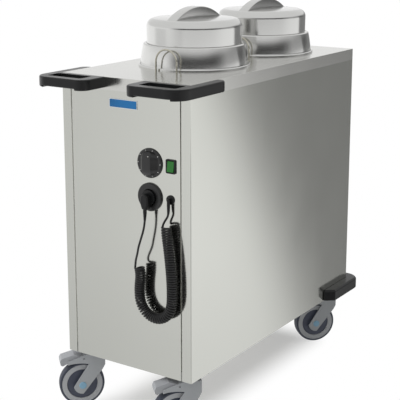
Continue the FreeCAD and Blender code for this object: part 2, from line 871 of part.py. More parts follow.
def make_switch():
    """The rocker switch: a bezel and body through the panel, and the rocker on its pivot pins."""
    housing = new_body("switch_housing")
    x, z = switch_x, size.switch_z
    wide, high = size.switch_width / 2, size.switch_height / 2
    bezel = sketch_on(housing, "XZ_Plane", -front)
    rounded_rectangle(bezel, x - wide, z - high, x + wide, z + high, size.switch_corner)
    pad(housing, bezel, size.switch_bezel)
    stock = sketch_on(housing, "XZ_Plane", -front - size.switch_body_depth)
    body_wide, body_high = size.switch_body_width / 2, size.switch_body_height / 2
    rectangle(stock, x - body_wide, z - body_high, x + body_wide, z + body_high)
    pad(housing, stock, size.switch_body_depth)
    lever = size.rocker_height / 2
    reach = (lever * lever + size.rocker_high * size.rocker_high).root() + size.rocker_gap
    slot = size.rocker_width / 2 + size.rocker_gap
    window = sketch_on(housing, "XZ_Plane", -front + size.switch_bezel)
    rectangle(window, x - slot, z - reach, x + slot, z + reach)
    pocket(housing, window, size.switch_bezel + reach)
    pins = size.rocker_width + size.rocker_pin_reach * 2
    holes = sketch_on(housing, "YZ_Plane", x)
    circle(holes, front, z, size.rocker_pin + size.turn_fit)
    pocket(housing, holes, pins + size.rocker_gap * 2, symmetric=True)
    rocker = new_body("switch_rocker")
    profile = sketch_on(rocker, "YZ_Plane", x)
    half = size.rocker_height / 2
    outline(profile, [
        (front - size.rocker_low, z + half),
        (front - (size.rocker_low + size.rocker_high) / 2 + size.rocker_gap, z),
        (front - size.rocker_high, z - half),
        (front + size.rocker_depth, z - half / 2), (front + size.rocker_depth, z + half / 2),
    ])
    pad(rocker, profile, size.rocker_width, symmetric=True)
    pin = sketch_on(rocker, "YZ_Plane", x)
    circle(pin, front, z, size.rocker_pin)
    pad(rocker, pin, pins, symmetric=True)


def make_parking_socket():
    """The round blind socket that parks the mains plug."""
    body = new_body("parking_socket")
    rim, bend = size.socket_radius, size.socket_round
    wall = size.socket_cup - size.socket_bore
    revolve(body, [
        (0, size.socket_depth), (0, size.socket_depth - wall), (size.socket_bore, size.socket_depth - wall),
        (size.socket_bore, -size.socket_rim), (rim - bend, -size.socket_rim, bend),
        (rim, bend - size.socket_rim),
        (rim, 0), (size.socket_cup, 0), (size.socket_cup, size.socket_depth),
    ], "XY_Plane")
    place(body, socket_x, front, size.socket_z)


def make_mains_plug():
    """The angled mains plug parked in the socket: shank, flat back that narrows down, and strain relief."""
    x, z = socket_x, size.socket_z
    floor = front + size.socket_depth - (size.socket_cup - size.socket_bore)
    collar = front - size.plug_collar
    shank = cylinder("plug_shank", size.plug_radius, floor - collar, (x, floor, z), 90, AXIS_X)
    back = new_body("plug_back")
    sketch = sketch_on(back, "XZ_Plane", -collar)
    wide, foot = size.plug_width / 2, size.plug_foot / 2
    outline(sketch, [
        (x - foot, z - size.plug_drop), (x + foot, z - size.plug_drop), (x + wide, z - size.plug_neck),
        (x + wide, z, wide), (x, z + wide, wide), (x - wide, z), (x - wide, z - size.plug_neck),
    ])
    pad(back, sketch, size.plug_reach - size.plug_collar)
    outer = (front - size.plug_reach).number
    dress(back, "Fillet", "Radius", size.plug_edge,
          lambda edge: abs(edge.BoundBox.YMin - outer) < 1e-6 and abs(edge.BoundBox.YMax - outer) < 1e-6)
    parts.pop("plug_back")
    relief_foot = (x, front - size.cord_out, z - size.plug_relief_drop)
    relief_length = size.plug_relief_drop - size.plug_neck
    relief = cylinder("plug_relief", size.plug_relief_radius, relief_length, relief_foot)
    keep(joined("mains_plug", [shank, back, relief]), "mains_plug")


def make_cable_gland():
    """The cable gland: a flat grommet on the panel and an elbow that turns the cord down."""
    x, z = gland_x, size.gland_z
    turn = (90, AXIS_X)
    boss = cylinder("gland_boss", size.gland_radius, size.gland_reach, (x, front, z), *turn)
    rounded = doc.addObject("Part::Fillet", "gland_round")
    doc.recompute()
    rounded.Base = boss
    rims = boss.Shape.Edges
    face = min(range(1, len(rims) + 1), key=lambda number: rims[number - 1].CenterOfMass.y)
    rounded.Edges = [(face, size.gland_edge.number, size.gland_edge.number)]
    bend = front - size.gland_out
    neck = cylinder("gland_neck", size.gland_snout, size.gland_out, (x, front, z), *turn)
    elbow = doc.addObject("Part::Sphere", "gland_elbow")
    bind(elbow, "Radius", size.gland_snout)
    place(elbow, x, bend, z)
    snout = cylinder("gland_snout", size.gland_snout, size.gland_drop, (x, bend, z - size.gland_drop))
    back = front + size.gland_stem_depth
    stem = cylinder("gland_stem", size.gland_stem, size.gland_stem_depth, (x, back, z), *turn)
    keep(joined("cable_gland", [rounded, neck, elbow, snout, stem]), "cable_gland")


def make_terminal_block():
    """The terminal box on the back of the control panel, under the gland."""
    x = gland_x - size.terminal_width / 2 - size.gland_stem
    z = size.socket_z - size.socket_cup - size.terminal_drop - size.terminal_height
    sizes = (size.terminal_width, size.terminal_depth, size.terminal_height)
    keep(block("terminal_block", sizes, (x, front + size.sheet, z)), "terminal_block")


# Castors

def castor_spot(place_at, along, across, height):
    """A point of a castor, given along its trail and across it from the swivel axis."""
    angle = math.radians(size.castor_swivel.number)
    x = place_at[0] + along * math.cos(angle) - across * math.sin(angle)
    y = place_at[1] + along * math.sin(angle) + across * math.cos(angle)
    return x, y, Length.of(height)


def make_castor_plates():
    """Four bolted plates, each with its ball race and king pin."""
    sets = []
    low = size.castor_height - size.plate_thickness
    race_foot = fork_top + size.race_gap
    pin_foot = fork_top - size.fork_roof - size.king_tail
    for name, (x, y) in castor_places.items():
        corner = (x - size.plate_width / 2, y - size.plate_length / 2, low)
        plate = block(f"plate_{name}", (size.plate_width, size.plate_length, size.plate_thickness), corner)
        race = cylinder(f"race_{name}", size.race_radius, low - race_foot, (x, y, race_foot))
        pin = cylinder(f"king_{name}", size.king_radius, low - pin_foot, (x, y, pin_foot))
        sets.append(joined(f"castor_plate_{name}", [plate, race, pin]))
    keep(group("castor_plates", sets), "castor_plates")


def fork_point(share):
    """A point of a castor's side view, from the swivel axis and the floor."""
    along, up = share
    return wheel_radius * along - size.castor_trail, wheel_radius * (up + 1)


def make_fork(label, at, braked):
    """A castor fork: two slanting legs under a hood, open in front of the wheel."""
    body = new_body(label)
    profile = {name: fork_point(share) for name, share in FORK_SHARES.items()}
    sketch = sketch_on(body, "XZ_Plane")
    outline(sketch, [
        (*profile["lip_low"], -size.arch_radius), profile["arch_end"],
        (*profile["leg_back"], size.leg_end_radius),
        profile["leg_tip"], profile["leg_front"], profile["heel"], (profile["heel"][0], fork_top),
        (profile["roof_end"][0], fork_top), profile["brow"], profile["lip_high"],
    ])
    pad(body, sketch, size.fork_width, symmetric=True)
    channel = sketch_on(body, "XZ_Plane")
    roof = fork_top - size.fork_roof
    rectangle(channel, profile["lip_low"][0] - size.overrun, 0, profile["heel"][0] - size.fork_wall, roof)
    pocket(body, channel, size.fork_width - size.fork_wall * 2, symmetric=True)
    pivot = sketch_on(body, "XY_Plane", fork_top)
    circle(pivot, 0, 0, size.king_radius + size.turn_fit)
    pocket(body, pivot, size.fork_roof)
    bores = sketch_on(body, "XZ_Plane")
    circle(bores, -size.castor_trail, wheel_radius, size.axle_radius + size.turn_fit)
    if braked:
        circle(bores, *fork_point(BRAKE_PIVOT_SHARES), size.brake_pin + size.turn_fit)
    pocket(body, bores, size.fork_width + size.overrun, symmetric=True)
    dress(body, "Fillet", "Radius", size.fork_wall / 2,
          lambda edge: level_at(edge, fork_top) and edge.BoundBox.XLength > size.fork_wall.number * 4)
    place(body, *at, 0, size.castor_swivel.number)


def make_axle(label, at):
    """The axle through the fork, with a round cap on each leg."""
    body = new_body(label)
    reach = size.fork_width / 2
    cap = reach + size.cap_thickness
    revolve(body, [
        (0, -cap), (size.cap_radius, -cap), (size.cap_radius, -reach), (size.axle_radius, -reach),
        (size.axle_radius, reach), (size.cap_radius, reach), (size.cap_radius, cap), (0, cap),
    ], "XY_Plane")
    place(body, *castor_spot(at, -size.castor_trail, 0, wheel_radius), size.castor_swivel.number)


def make_wheel(name, at):
    """One wheel: the rim with its hub and web, the tyre, and the covers in both recesses."""
    hub_spot = castor_spot(at, -size.castor_trail, 0, wheel_radius)
    bore = size.axle_radius + size.turn_fit
    tread = wheel_radius - size.tyre_depth
    hub, web, flank = size.hub_width / 2, size.web_width / 2, size.tyre_width / 2
    rim = new_body(f"wheel_rim_{name}")
    lower = [(bore, -hub), (size.hub_radius, -hub), (size.hub_radius, -web), (size.cover_radius, -web),
             (size.cover_radius, -flank), (tread, -flank)]
    revolve(rim, lower + [(x, -y) for x, y in reversed(lower)], "XY_Plane")
    place(rim, *hub_spot, size.castor_swivel.number)
    tyre = new_body(f"tyre_{name}")
    bend = size.tyre_round
    revolve(tyre, [
        (tread, -flank), (wheel_radius - bend, -flank, bend), (wheel_radius, bend - flank),
        (wheel_radius, flank - bend, bend), (wheel_radius - bend, flank), (tread, flank),
    ], "XY_Plane")
    place(tyre, *hub_spot, size.castor_swivel.number)
    covers = []
    for side in (-1, 1):
        edge = web if side > 0 else -web - size.cover_thickness
        cover = ring(
            f"cover_{name}_{side}", size.hub_radius + size.cover_fit, size.cover_radius - size.cover_fit,
            size.cover_thickness, (0, edge + size.cover_thickness, 0), 90, AXIS_X,
        )
        covers.append(cover)
    pair = keep(group(f"hub_cover_{name}", covers), f"hub_cover_{name}")
    place(pair, *hub_spot, size.castor_swivel.number)


def make_brake_pedal(label, at):
    """A brake pedal over the wheel, hinged between the legs of the fork's hood."""
    body = new_body(label)
    sketch = sketch_on(body, "XZ_Plane")
    outline(sketch, [fork_point(share) for share in BRAKE_SHARES])
    pad(body, sketch, size.brake_width, symmetric=True)
    tip = fork_point(BRAKE_SHARES[5])[0].number
    tread_end = fork_point(BRAKE_SHARES[3])[0].number
    dress(body, "Fillet", "Radius", size.brake_edge,
          lambda edge: edge.BoundBox.YLength > size.brake_width.number - 1e-6
          and edge.CenterOfMass.x < tread_end
          and edge.CenterOfMass.x > tip - 1e-6)
    pin = sketch_on(body, "XZ_Plane")
    circle(pin, *fork_point(BRAKE_PIVOT_SHARES), size.brake_pin)
    pad(body, pin, size.brake_width + size.brake_pin_reach * 2, symmetric=True)
    place(body, *at, 0, size.castor_swivel.number)


# Cord

# Route of the cord from the gland to the plug: across, out from the panel, and up from the floor
CORD_ROUTE = [
    (141.0, 9.5, 614.5),
    (141.2, 11.5, 602.5),
    (139.0, 14.5, 589.5),
    (140.0, 19.0, 563.0),
    (148.5, 20.5, 519.0),
    (156.0, 20.5, 455.0),
    (158.5, 20.5, 406.0),
    (156.5, 20.5, 362.5),
    (138.0, 20.8, 336.0),
    (108.5, 21.0, 326.0),
    (78.5, 21.4, 336.0),
    (59.5, 22.0, 362.5),
    (57.3, 22.0, 403.0),
    (63.0, 22.0, 438.0),
    (58.0, 28.0, 474.0),
    (60.5, 32.5, 502.0),
    (68.5, 30.0, 530.0),
    (76.5, 26.5, 558.0),
    (79.0, 24.0, 584.0),
]
# Runs of the route, counted from the gland, in which the curls begin and end
FIRST_CURL_COUNT = 3
LAST_CURL_COUNT = 14


class Path:
    """A route as straight runs joined by tangent arcs, walked by distance."""

    def __init__(self, points):
        self.points = points
        self.pieces = []
        self.radii = []
        start = points[0]
        for before, corner, after in zip(points, points[1:], points[2:]):
            to_start, to_end = (before - corner), (after - corner)
            reach = ARC_SHARE * min(to_start.Length, to_end.Length)
            to_start.normalize()
            to_end.normalize()
            half_turn = (math.pi - to_start.getAngle(to_end)) / 2
            radius = reach / math.tan(half_turn)
            inward = (to_start + to_end).normalize()
            centre = corner + inward * (radius / math.cos(half_turn))
            bend_start, bend_end = corner + to_start * reach, corner + to_end * reach
            self.pieces.append(("run", start, bend_start, None, 0))
            self.pieces.append(("bend", bend_start, bend_end, centre, radius))
            self.radii.append(radius)
            start = bend_end
        self.pieces.append(("run", start, points[-1], None, 0))

    @staticmethod
    def length_of(piece):
        """The length of one piece."""
        kind, start, end, centre, radius = piece
        if kind == "run":
            return (end - start).Length
        return radius * (start - centre).getAngle(end - centre)

    def total(self):
        """The length of the whole path."""
        return sum(self.length_of(piece) for piece in self.pieces)

    def at(self, distance):
        """The point, the direction and the curvature at a distance from the start."""
        for piece in self.pieces:
            length = self.length_of(piece)
            if distance <= length or piece is self.pieces[-1]:
                break
            distance -= length
        kind, start, end, centre, radius = piece
        if kind == "run":
            direction = (end - start).normalize()
            return start + direction * distance, direction, FreeCAD.Vector()
        arm = start - centre
        plane = arm.cross(end - centre).normalize()
        arm = FreeCAD.Rotation(plane, math.degrees(distance / radius)).multVec(arm)
        return centre + arm, plane.cross(arm).normalize(), arm * (-1 / radius ** 2)

    def edges(self):
        """The path as straight and round edges."""
        found = []
        for kind, start, end, centre, radius in self.pieces:
            if kind == "run":
                found.append(Part.LineSegment(start, end).toShape())
            else:
                middle = centre + ((start + end) / 2 - centre).normalize() * radius
                found.append(Part.Arc(start, middle, end).toShape())
        return found


def tube(edges, start, direction):
    """A round cord along connected edges."""
    section = Part.Wire([Part.Circle(start, direction, size.cord_diameter.number / 2).toShape()])
    solid = Part.Wire(edges).makePipeShell([section], True, False)
    expected = math.pi * size.cord_diameter.number ** 2 / 4 * sum(edge.Length for edge in edges)
    print(f"cord volume against section times length: {solid.Volume / expected:.4f}")
    return solid


def add_shape(label, shape):
    """A sub-part whose shape follows a free route."""
    item = doc.addObject("Part::Feature", label)
    item.Shape = shape
    item.Placement = FreeCAD.Placement()
    return keep(item, label)


def biarc(start, start_way, end, end_way):
    """Two tangent arcs from one point and direction to another."""
    chord = end - start
    ways = start_way + end_way
    spread = 2 * (1 - start_way.dot(end_way))
    along = chord.dot(ways)
    if spread < 1e-9:
        reach = chord.dot(chord) / (2 * along)
    else:
        reach = (math.sqrt(along ** 2 + spread * chord.dot(chord)) - along) / spread
    first, second = start + start_way * reach, end - end_way * reach
    joint = (first + second) / 2
    arcs = []
    for low, corner, high in ((start, first, joint), (joint, second, end)):
        middle = (low + high) / 2
        half = (high - low).Length / 2
        lean = (corner - low).getAngle(high - low)
        crown = middle + (corner - middle).normalize() * (half * math.tan(lean / 2))
        arcs.append(Part.Arc(low, crown, high).toShape())
    return arcs


def curl_edges(path):
    """The centre line of the curls: straight ends, a lead-in to the helix, and its half turns."""
    radius, pitch = size.curl_radius.number, size.curl_pitch.number
    stub, runout = size.cord_diameter.number, size.curl_runout.number
    begin, end = stub + runout, path.total() - stub - runout

    def helix(distance, turned):
        point, way, _ = path.at(distance)
        across = (AXIS_Y - way * AXIS_Y.dot(way)).normalize()
        return point + (across * math.cos(turned) + across.cross(way) * math.sin(turned)) * radius

    def turn_rate(distance):
        tightest = path.at(distance)[2].Length
        return 2 * math.pi * (1 - radius * tightest) / pitch

    # The curls open up on the bends, so that they keep their spacing on the inside
    step = pitch / 40
    steps = int((end - begin) / step)
    angles = [0.0]
    for index in range(steps):
        angles.append(angles[-1] + turn_rate(begin + (index + 0.5) * step) * step)
    half_turns = int(angles[-1] / math.pi)
    stretch = half_turns * math.pi / angles[-1]
    angles = [angle * stretch for angle in angles]

    def distance_at(angle):
        index = next((i for i in range(1, len(angles)) if angles[i] >= angle - 1e-9), len(angles) - 1)
        share = (angle - angles[index - 1]) / (angles[index] - angles[index - 1])
        return begin + (index - 1 + share) * step

    def way_at(distance, angle):
        small = step / 10
        rate = turn_rate(distance) * stretch
        ahead = helix(distance + small, angle + rate * small)
        behind = helix(distance - small, angle - rate * small)
        return (ahead - behind).normalize()

    first, first_way, _ = path.at(0)
    last, last_way, _ = path.at(path.total())
    stops = [(first + first_way * stub, first_way)]
    for number in range(half_turns + 1):
        angle = number * math.pi
        distance = distance_at(angle)
        stops.append((helix(distance, angle), way_at(distance, angle)))
    stops.append((last - last_way * stub, last_way))
    edges = [Part.LineSegment(first, stops[0][0]).toShape()]
    for (low, low_way), (high, high_way) in zip(stops, stops[1:]):
        edges += biarc(low, low_way, high, high_way)
    edges.append(Part.LineSegment(stops[-1][0], last).toShape())
    print(f"curls: {half_turns / 2:.1f}")
    return edges


def least_gap(edges):
    """The least clear gap between the curls, measured on points along their centre line."""
    points = [edge.valueAt(edge.FirstParameter + (edge.LastParameter - edge.FirstParameter) * share / 4)
              for edge in edges for share in range(4)]
    near, far = 10, 44
    least = min((points[j] - points[i]).Length for i in range(len(points))
                for j in range(i + near, min(i + far, len(points))))
    return least - size.cord_diameter.number


def make_cord():
    """The cord in three stretches: the lead at the gland, the curls and the lead at the plug."""
    start = (gland_x.number, size.gland_out.number, (size.gland_z - size.gland_drop).number)
    finish = (socket_x.number, size.cord_out.number, (size.socket_z - size.plug_relief_drop).number)
    route = [FreeCAD.Vector(x, front.number - out, z) for x, out, z in [start, *CORD_ROUTE, finish]]
    whole = Path(route)
    print("cord bend radii:", [round(radius) for radius in whole.radii])
    stub = size.cord_diameter.number
    runs = [piece for piece in whole.pieces if piece[0] == "run"]
    first_run, last_run = runs[FIRST_CURL_COUNT], runs[LAST_CURL_COUNT]
    split_in = first_run[2] - (first_run[2] - first_run[1]).normalize() * stub
    split_out = last_run[1] + (last_run[2] - last_run[1]).normalize() * stub
    lead_in = Path(route[:FIRST_CURL_COUNT + 1] + [split_in])
    lead_out = Path([split_out] + route[LAST_CURL_COUNT + 1:])
    curl = Path([split_in] + route[FIRST_CURL_COUNT + 1:LAST_CURL_COUNT + 1] + [split_out])
    for path in (lead_in, curl, lead_out):
        path.pieces = part_of(whole, path.points[0], path.points[-1])
    for label, path in (("cord_lead_gland", lead_in), ("cord_lead_plug", lead_out)):
        add_shape(label, tube(path.edges(), path.points[0], path.at(0)[1]))
    edges = curl_edges(curl)
    print(f"least gap between curls: {least_gap(edges):.2f}")
    add_shape("cord_curl", tube(edges, curl.points[0], curl.at(0)[1]))


def part_of(whole, start, end):
    """The pieces of a path between two points that lie on its straight runs."""
    def on_run(piece, point):
        return piece[0] == "run" and abs((piece[1] - point).Length + (piece[2] - point).Length
                                         - (piece[2] - piece[1]).Length) < 1e-6

    first = next(i for i, piece in enumerate(whole.pieces) if on_run(piece, start))
    last = max(i for i, piece in enumerate(whole.pieces) if on_run(piece, end))
    pieces = list(whole.pieces[first:last + 1])
    pieces[0] = ("run", start, pieces[0][2], None, 0)
    pieces[-1] = ("run", pieces[-1][1], end, None, 0)
    return pieces


def build():
    """Make every sub-part."""
    make_base_tray()
    make_frame_posts()
    make_side_panel("side_panel_left", -1)
    make_side_panel("side_panel_right", 1)
    make_front_panel()
    end_panel("rear_panel", rear, -1)
    make_top_cover()
    for end, y in tube_places.items():
        make_tube(f"tube_{end}", y)
        make_guides(f"plate_guides_{end}", y)
        make_heater(f"heater_{end}", y)
        make_spring(f"lift_spring_{end}", y)
        make_platform(f"platform_{end}", y)
        make_lid(f"lid_{end}", y)
        make_stop_loop(f"stop_loop_{end}", y)
    for name, side in (("left", -1), ("right", 1)):
        make_handle(f"push_handle_{name}", side)
        make_bumper(f"corner_bumper_{name}", side)
    make_thermostat_body()
    make_thermostat_knob()
    make_switch()
    make_parking_socket()
    make_mains_plug()
    make_cable_gland()
    make_terminal_block()
    make_castor_plates()
    for name, at in castor_places.items():
        braked = name.startswith("front")
        make_fork(f"castor_fork_{name}", at, braked)
        make_axle(f"castor_axle_{name}", at)
        make_wheel(name, at)
        if braked:
            make_brake_pedal(f"brake_pedal_{name}", at)
    make_cord()
    doc.recompute()


def check():
    """Stop if any object failed or any sub-part is not a sound solid."""
    for item in doc.Objects:
        if "Invalid" in item.State or "Error" in item.State:
            raise RuntimeError(f"{item.Label} failed: {item.State}")
    for label, item in parts.items():
        if item.Shape.isNull() or not item.Shape.isValid() or not item.Shape.Solids:
            raise RuntimeError(f"{label} has no valid solid")


def export():
    """Write each sub-part to its own file."""
    os.makedirs("parts", exist_ok=True)
    for label, item in parts.items():
        item.Shape.exportStep(f"parts/{label}.step")


build()
check()
export()
print(f"{len(parts)} sub-parts")
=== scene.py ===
"""Dress the heated plate dispenser: finishes, fittings, curly cord, studio and camera."""

import json
import logging
import math
from dataclasses import dataclass, field
from enum import Enum
from typing import Any, Callable, Sequence

import bmesh
import bpy
from mathutils import Matrix, Vector


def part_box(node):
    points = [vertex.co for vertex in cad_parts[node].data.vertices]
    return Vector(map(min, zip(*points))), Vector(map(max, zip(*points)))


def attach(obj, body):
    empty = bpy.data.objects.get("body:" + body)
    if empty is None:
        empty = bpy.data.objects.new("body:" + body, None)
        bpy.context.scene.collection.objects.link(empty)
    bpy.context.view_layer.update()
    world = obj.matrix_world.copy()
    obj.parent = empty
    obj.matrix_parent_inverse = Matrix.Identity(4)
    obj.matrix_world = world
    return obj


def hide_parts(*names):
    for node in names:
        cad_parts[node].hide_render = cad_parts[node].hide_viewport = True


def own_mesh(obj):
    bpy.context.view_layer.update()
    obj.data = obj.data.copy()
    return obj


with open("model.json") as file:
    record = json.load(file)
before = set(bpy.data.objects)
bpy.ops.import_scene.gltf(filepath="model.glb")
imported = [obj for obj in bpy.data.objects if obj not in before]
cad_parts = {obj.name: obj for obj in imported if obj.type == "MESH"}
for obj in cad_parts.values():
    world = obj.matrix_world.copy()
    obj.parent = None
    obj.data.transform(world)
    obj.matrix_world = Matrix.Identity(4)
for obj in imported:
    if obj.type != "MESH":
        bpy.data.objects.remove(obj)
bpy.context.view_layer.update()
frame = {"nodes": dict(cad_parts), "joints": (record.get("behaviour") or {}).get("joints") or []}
log = logging.getLogger("plate_dispenser")

MM = 0.001
# Points closer than this are one point, in metres
WELD = 1e-6
# Faces that meet at less than this angle are one face, in degrees
FLAT = 0.5
# How much large faces count in the shading of an edge; 50 is the same for all
FACE_WEIGHT = 80
# Pieces in a small rounded corner
SMALL = 4
# Layers of finer noise in a soft pattern and in a rich one
SOFT_LAYERS = 2.0
RICH_LAYERS = 3.0
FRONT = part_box("front_panel")[0].y
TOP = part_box("top_cover")[1].z
Pair = tuple[float, float]
Place = tuple[float, float, float]
# A corner of an outline: two coordinates and the radius that rounds it
Corner = tuple[float, float, float]
Mesh = bpy.types.Mesh
Node = bpy.types.Node
Socket = bpy.types.NodeSocket
Tree = bpy.types.NodeTree


# Nodes and finishes

def linear(code: str) -> tuple[float, float, float, float]:
    """Turn an sRGB hex colour into linear red, green, blue and alpha.

    Args:
        code: six hex digits.

    Returns:
        The linear colour, opaque.
    """
    shares = [int(code[place:place + 2], 16) / 255 for place in (0, 2, 4)]
    red, green, blue = [s / 12.92 if s <= 0.04045 else ((s + 0.055) / 1.055) ** 2.4 for s in shares]
    return red, green, blue, 1.0


def add_node(tree: Tree, kind: str, inputs: dict[Any, Any] | None = None, **settings: Any) -> Node:
    """Add a node with its settings, values and links.

    Args:
        tree: the tree that gets the node.
        kind: the node's type name.
        inputs: socket name or number to a value, or to the socket that feeds it, or to the node whose
            first output does.
        settings: attributes of the node.

    Returns:
        The new node.
    """
    node = tree.nodes.new(kind)
    for name, value in settings.items():
        setattr(node, name, value)
    for key, value in (inputs or {}).items():
        source = value.outputs[0] if isinstance(value, bpy.types.Node) else value
        if isinstance(source, bpy.types.NodeSocket):
            tree.links.new(source, node.inputs[key])
        else:
            node.inputs[key].default_value = source
    return node


class Grain(Enum):
    """The way in which the grain of a sheet runs."""

    ACROSS = (1, 0, 0)
    ALONG = (0, 1, 0)
    UPRIGHT = (0, 0, 1)


@dataclass(frozen=True)
class Finish:
    """What every finish has: a name, a colour, a roughness, and how far its patterns change the surface."""

    name: str
    colour: str
    roughness: float
    shade: float = 0.0
    spread: float = 0.0
    strength: float = 0.0
    depth_mm: float = 0.0

    def material(self) -> bpy.types.Material:
        """Make the material once, and give the same one after that.

        Returns:
            The material.
        """
        made = bpy.data.materials.get(self.name)
        if made:
            return made
        made = bpy.data.materials.new(self.name)
        made.use_nodes = True
        tree = made.node_tree
        tree.nodes.clear()
        look = {"Base Color": linear(self.colour), "Roughness": self.roughness}
        shader = add_node(tree, "ShaderNodeBsdfPrincipled", look)
        add_node(tree, "ShaderNodeOutputMaterial", {"Surface": shader})
        self.detail(tree, shader, add_node(tree, "ShaderNodeTexCoord").outputs["Object"])
        return made

    def detail(self, tree: Tree, shader: Node, place: Socket) -> None:
        """Add what the surface shows close up; a plain finish adds nothing.

        Args:
            tree: the material's tree.
            shader: its surface shader.
            place: the object coordinates.
        """

    def vary(self, tree: Tree, shader: Node, factor: Node, relief: Node | None = None) -> None:
        """Let a pattern shift the colour and the roughness a little, and another one bump the surface.

        Args:
            tree: the material's tree.
            shader: its surface shader.
            factor: the pattern of the colour and the roughness, from 0 to 1.
            relief: the pattern of the bumps; none leaves the surface even.
        """
        light = linear(self.colour)
        dark = tuple(part * (1 - self.shade) for part in light[:3]) + (1.0,)
        mix = add_node(tree, "ShaderNodeMix", {0: factor, 6: dark, 7: light}, data_type="RGBA")
        tree.links.new(mix.outputs[2], shader.inputs["Base Color"])
        low, high = self.roughness - self.spread, self.roughness + self.spread
        rough = add_node(tree, "ShaderNodeMapRange", {"Value": factor, "To Min": low, "To Max": high})
        tree.links.new(rough.outputs["Result"], shader.inputs["Roughness"])
        if relief is not None:
            height = {"Height": relief, "Strength": self.strength, "Distance": self.depth_mm * MM}
            bump = add_node(tree, "ShaderNodeBump", height)
            tree.links.new(bump.outputs[0], shader.inputs["Normal"])


@dataclass(frozen=True)
class Metal(Finish):
    """Bare metal: the lines that a tool left, and a slow cloud of uneven polish."""

    cloud_mm: float = 60.0

    def clouded(self, tree: Tree, place: Socket, lines: Node) -> Node:
        """Mix the lines half and half with a slow cloud.

        Args:
            tree: the material's tree.
            place: the object coordinates.
            lines: the pattern of the lines.

        Returns:
            The node that gives the mixed pattern.
        """
        slow = {"Vector": place, "Scale": 1 / (self.cloud_mm * MM), "Detail": SOFT_LAYERS}
        cloud = add_node(tree, "ShaderNodeTexNoise", slow)
        both = add_node(tree, "ShaderNodeMath", {0: lines, 1: cloud}, operation="ADD")
        return add_node(tree, "ShaderNodeMath", {0: both, 1: 0.5}, operation="MULTIPLY")


@dataclass(frozen=True)
class GroundSteel(Metal):
    """Stainless steel sheet with a fine ground grain: a clear mirror image with faint streaks."""

    shade: float = 0.07
    spread: float = 0.035
    strength: float = 0.25
    depth_mm: float = 0.004
    cloud_mm: float = 180.0
    grain: Grain = Grain.UPRIGHT
    # Real grinding lines lie about 0.1 mm apart; they are drawn coarser so that they show
    line_mm: float = 1.6
    run_mm: float = 160.0

    def detail(self, tree: Tree, shader: Node, place: Socket) -> None:
        """Stretch a noise along the grain for streaks, and add a slow cloud of uneven polish.

        Args:
            tree: the material's tree.
            shader: its surface shader.
            place: the object coordinates.
        """
        shader.inputs["Metallic"].default_value = 1.0
        scale = [1 / ((self.run_mm if axis else self.line_mm) * MM) for axis in self.grain.value]
        stretched = add_node(tree, "ShaderNodeMapping", {"Vector": place, "Scale": scale})
        drawn = {"Vector": stretched, "Scale": 1.0, "Detail": RICH_LAYERS}
        streak = add_node(tree, "ShaderNodeTexNoise", drawn)
        self.vary(tree, shader, self.clouded(tree, place, streak), streak)


@dataclass(frozen=True)
class SpunSteel(Metal):
    """Pressed and spun stainless steel: polished in rings round one upright axis."""

    shade: float = 0.05
    spread: float = 0.03
    centre: Pair = (0.0, 0.0)
    # Polishing rings are drawn a few times wider than the real 0.2 mm
    ring_mm: float = 0.9

    def detail(self, tree: Tree, shader: Node, place: Socket) -> None:
        """Draw faint rings from the distance to the axis, and a slow cloud of uneven polish.

        Args:
            tree: the material's tree.
            shader: its surface shader.
            place: the object coordinates.
        """
        shader.inputs["Metallic"].default_value = 1.0
        shift = {"Vector": place, "Location": (-self.centre[0], -self.centre[1], 0)}
        centred = add_node(tree, "ShaderNodeMapping", shift)
        flat = add_node(tree, "ShaderNodeVectorMath", {0: centred, 1: (1, 1, 0)}, operation="MULTIPLY")
        radius = add_node(tree, "ShaderNodeVectorMath", {0: flat}, operation="LENGTH").outputs["Value"]
        height = add_node(tree, "ShaderNodeSeparateXYZ", {0: place}).outputs[2]
        spot = add_node(tree, "ShaderNodeCombineXYZ", {0: radius, 2: height})
        fine = {"Vector": spot, "Scale": 1 / (self.ring_mm * MM), "Detail": SOFT_LAYERS}
        ring = add_node(tree, "ShaderNodeTexNoise", fine)
        self.vary(tree, shader, self.clouded(tree, place, ring))


@dataclass(frozen=True)
class Moulding(Finish):
    """Moulded plastic: an even colour with a fine spark-eroded grain and softer patches from handling."""

    shade: float = 0.18
    spread: float = 0.07
    strength: float = 0.35
    depth_mm: float = 0.03
    grain_mm: float = 0.7
    patch_mm: float = 35.0
    gloss: float = 0.5
    refraction: float = 1.5

    def detail(self, tree: Tree, shader: Node, place: Socket) -> None:
        """Bump the surface with its grain and let large soft patches change the gloss.

        Args:
            tree: the material's tree.
            shader: its surface shader.
            place: the object coordinates.
        """
        shader.inputs["IOR"].default_value = self.refraction
        shader.inputs["Specular IOR Level"].default_value = self.gloss
        grit, patch = [
            add_node(tree, "ShaderNodeTexNoise", {"Vector": place, "Scale": 1 / (size * MM), "Detail": fine})
            for size, fine in ((self.grain_mm, SOFT_LAYERS), (self.patch_mm, RICH_LAYERS))]
        self.vary(tree, shader, patch, grit)


def satin(name: str, colour: str, roughness: float, gloss: float) -> Moulding:
    """A black fitting with a fine, shallow grain."""
    return Moulding(name, colour, roughness, grain_mm=0.5, depth_mm=0.012, gloss=gloss)


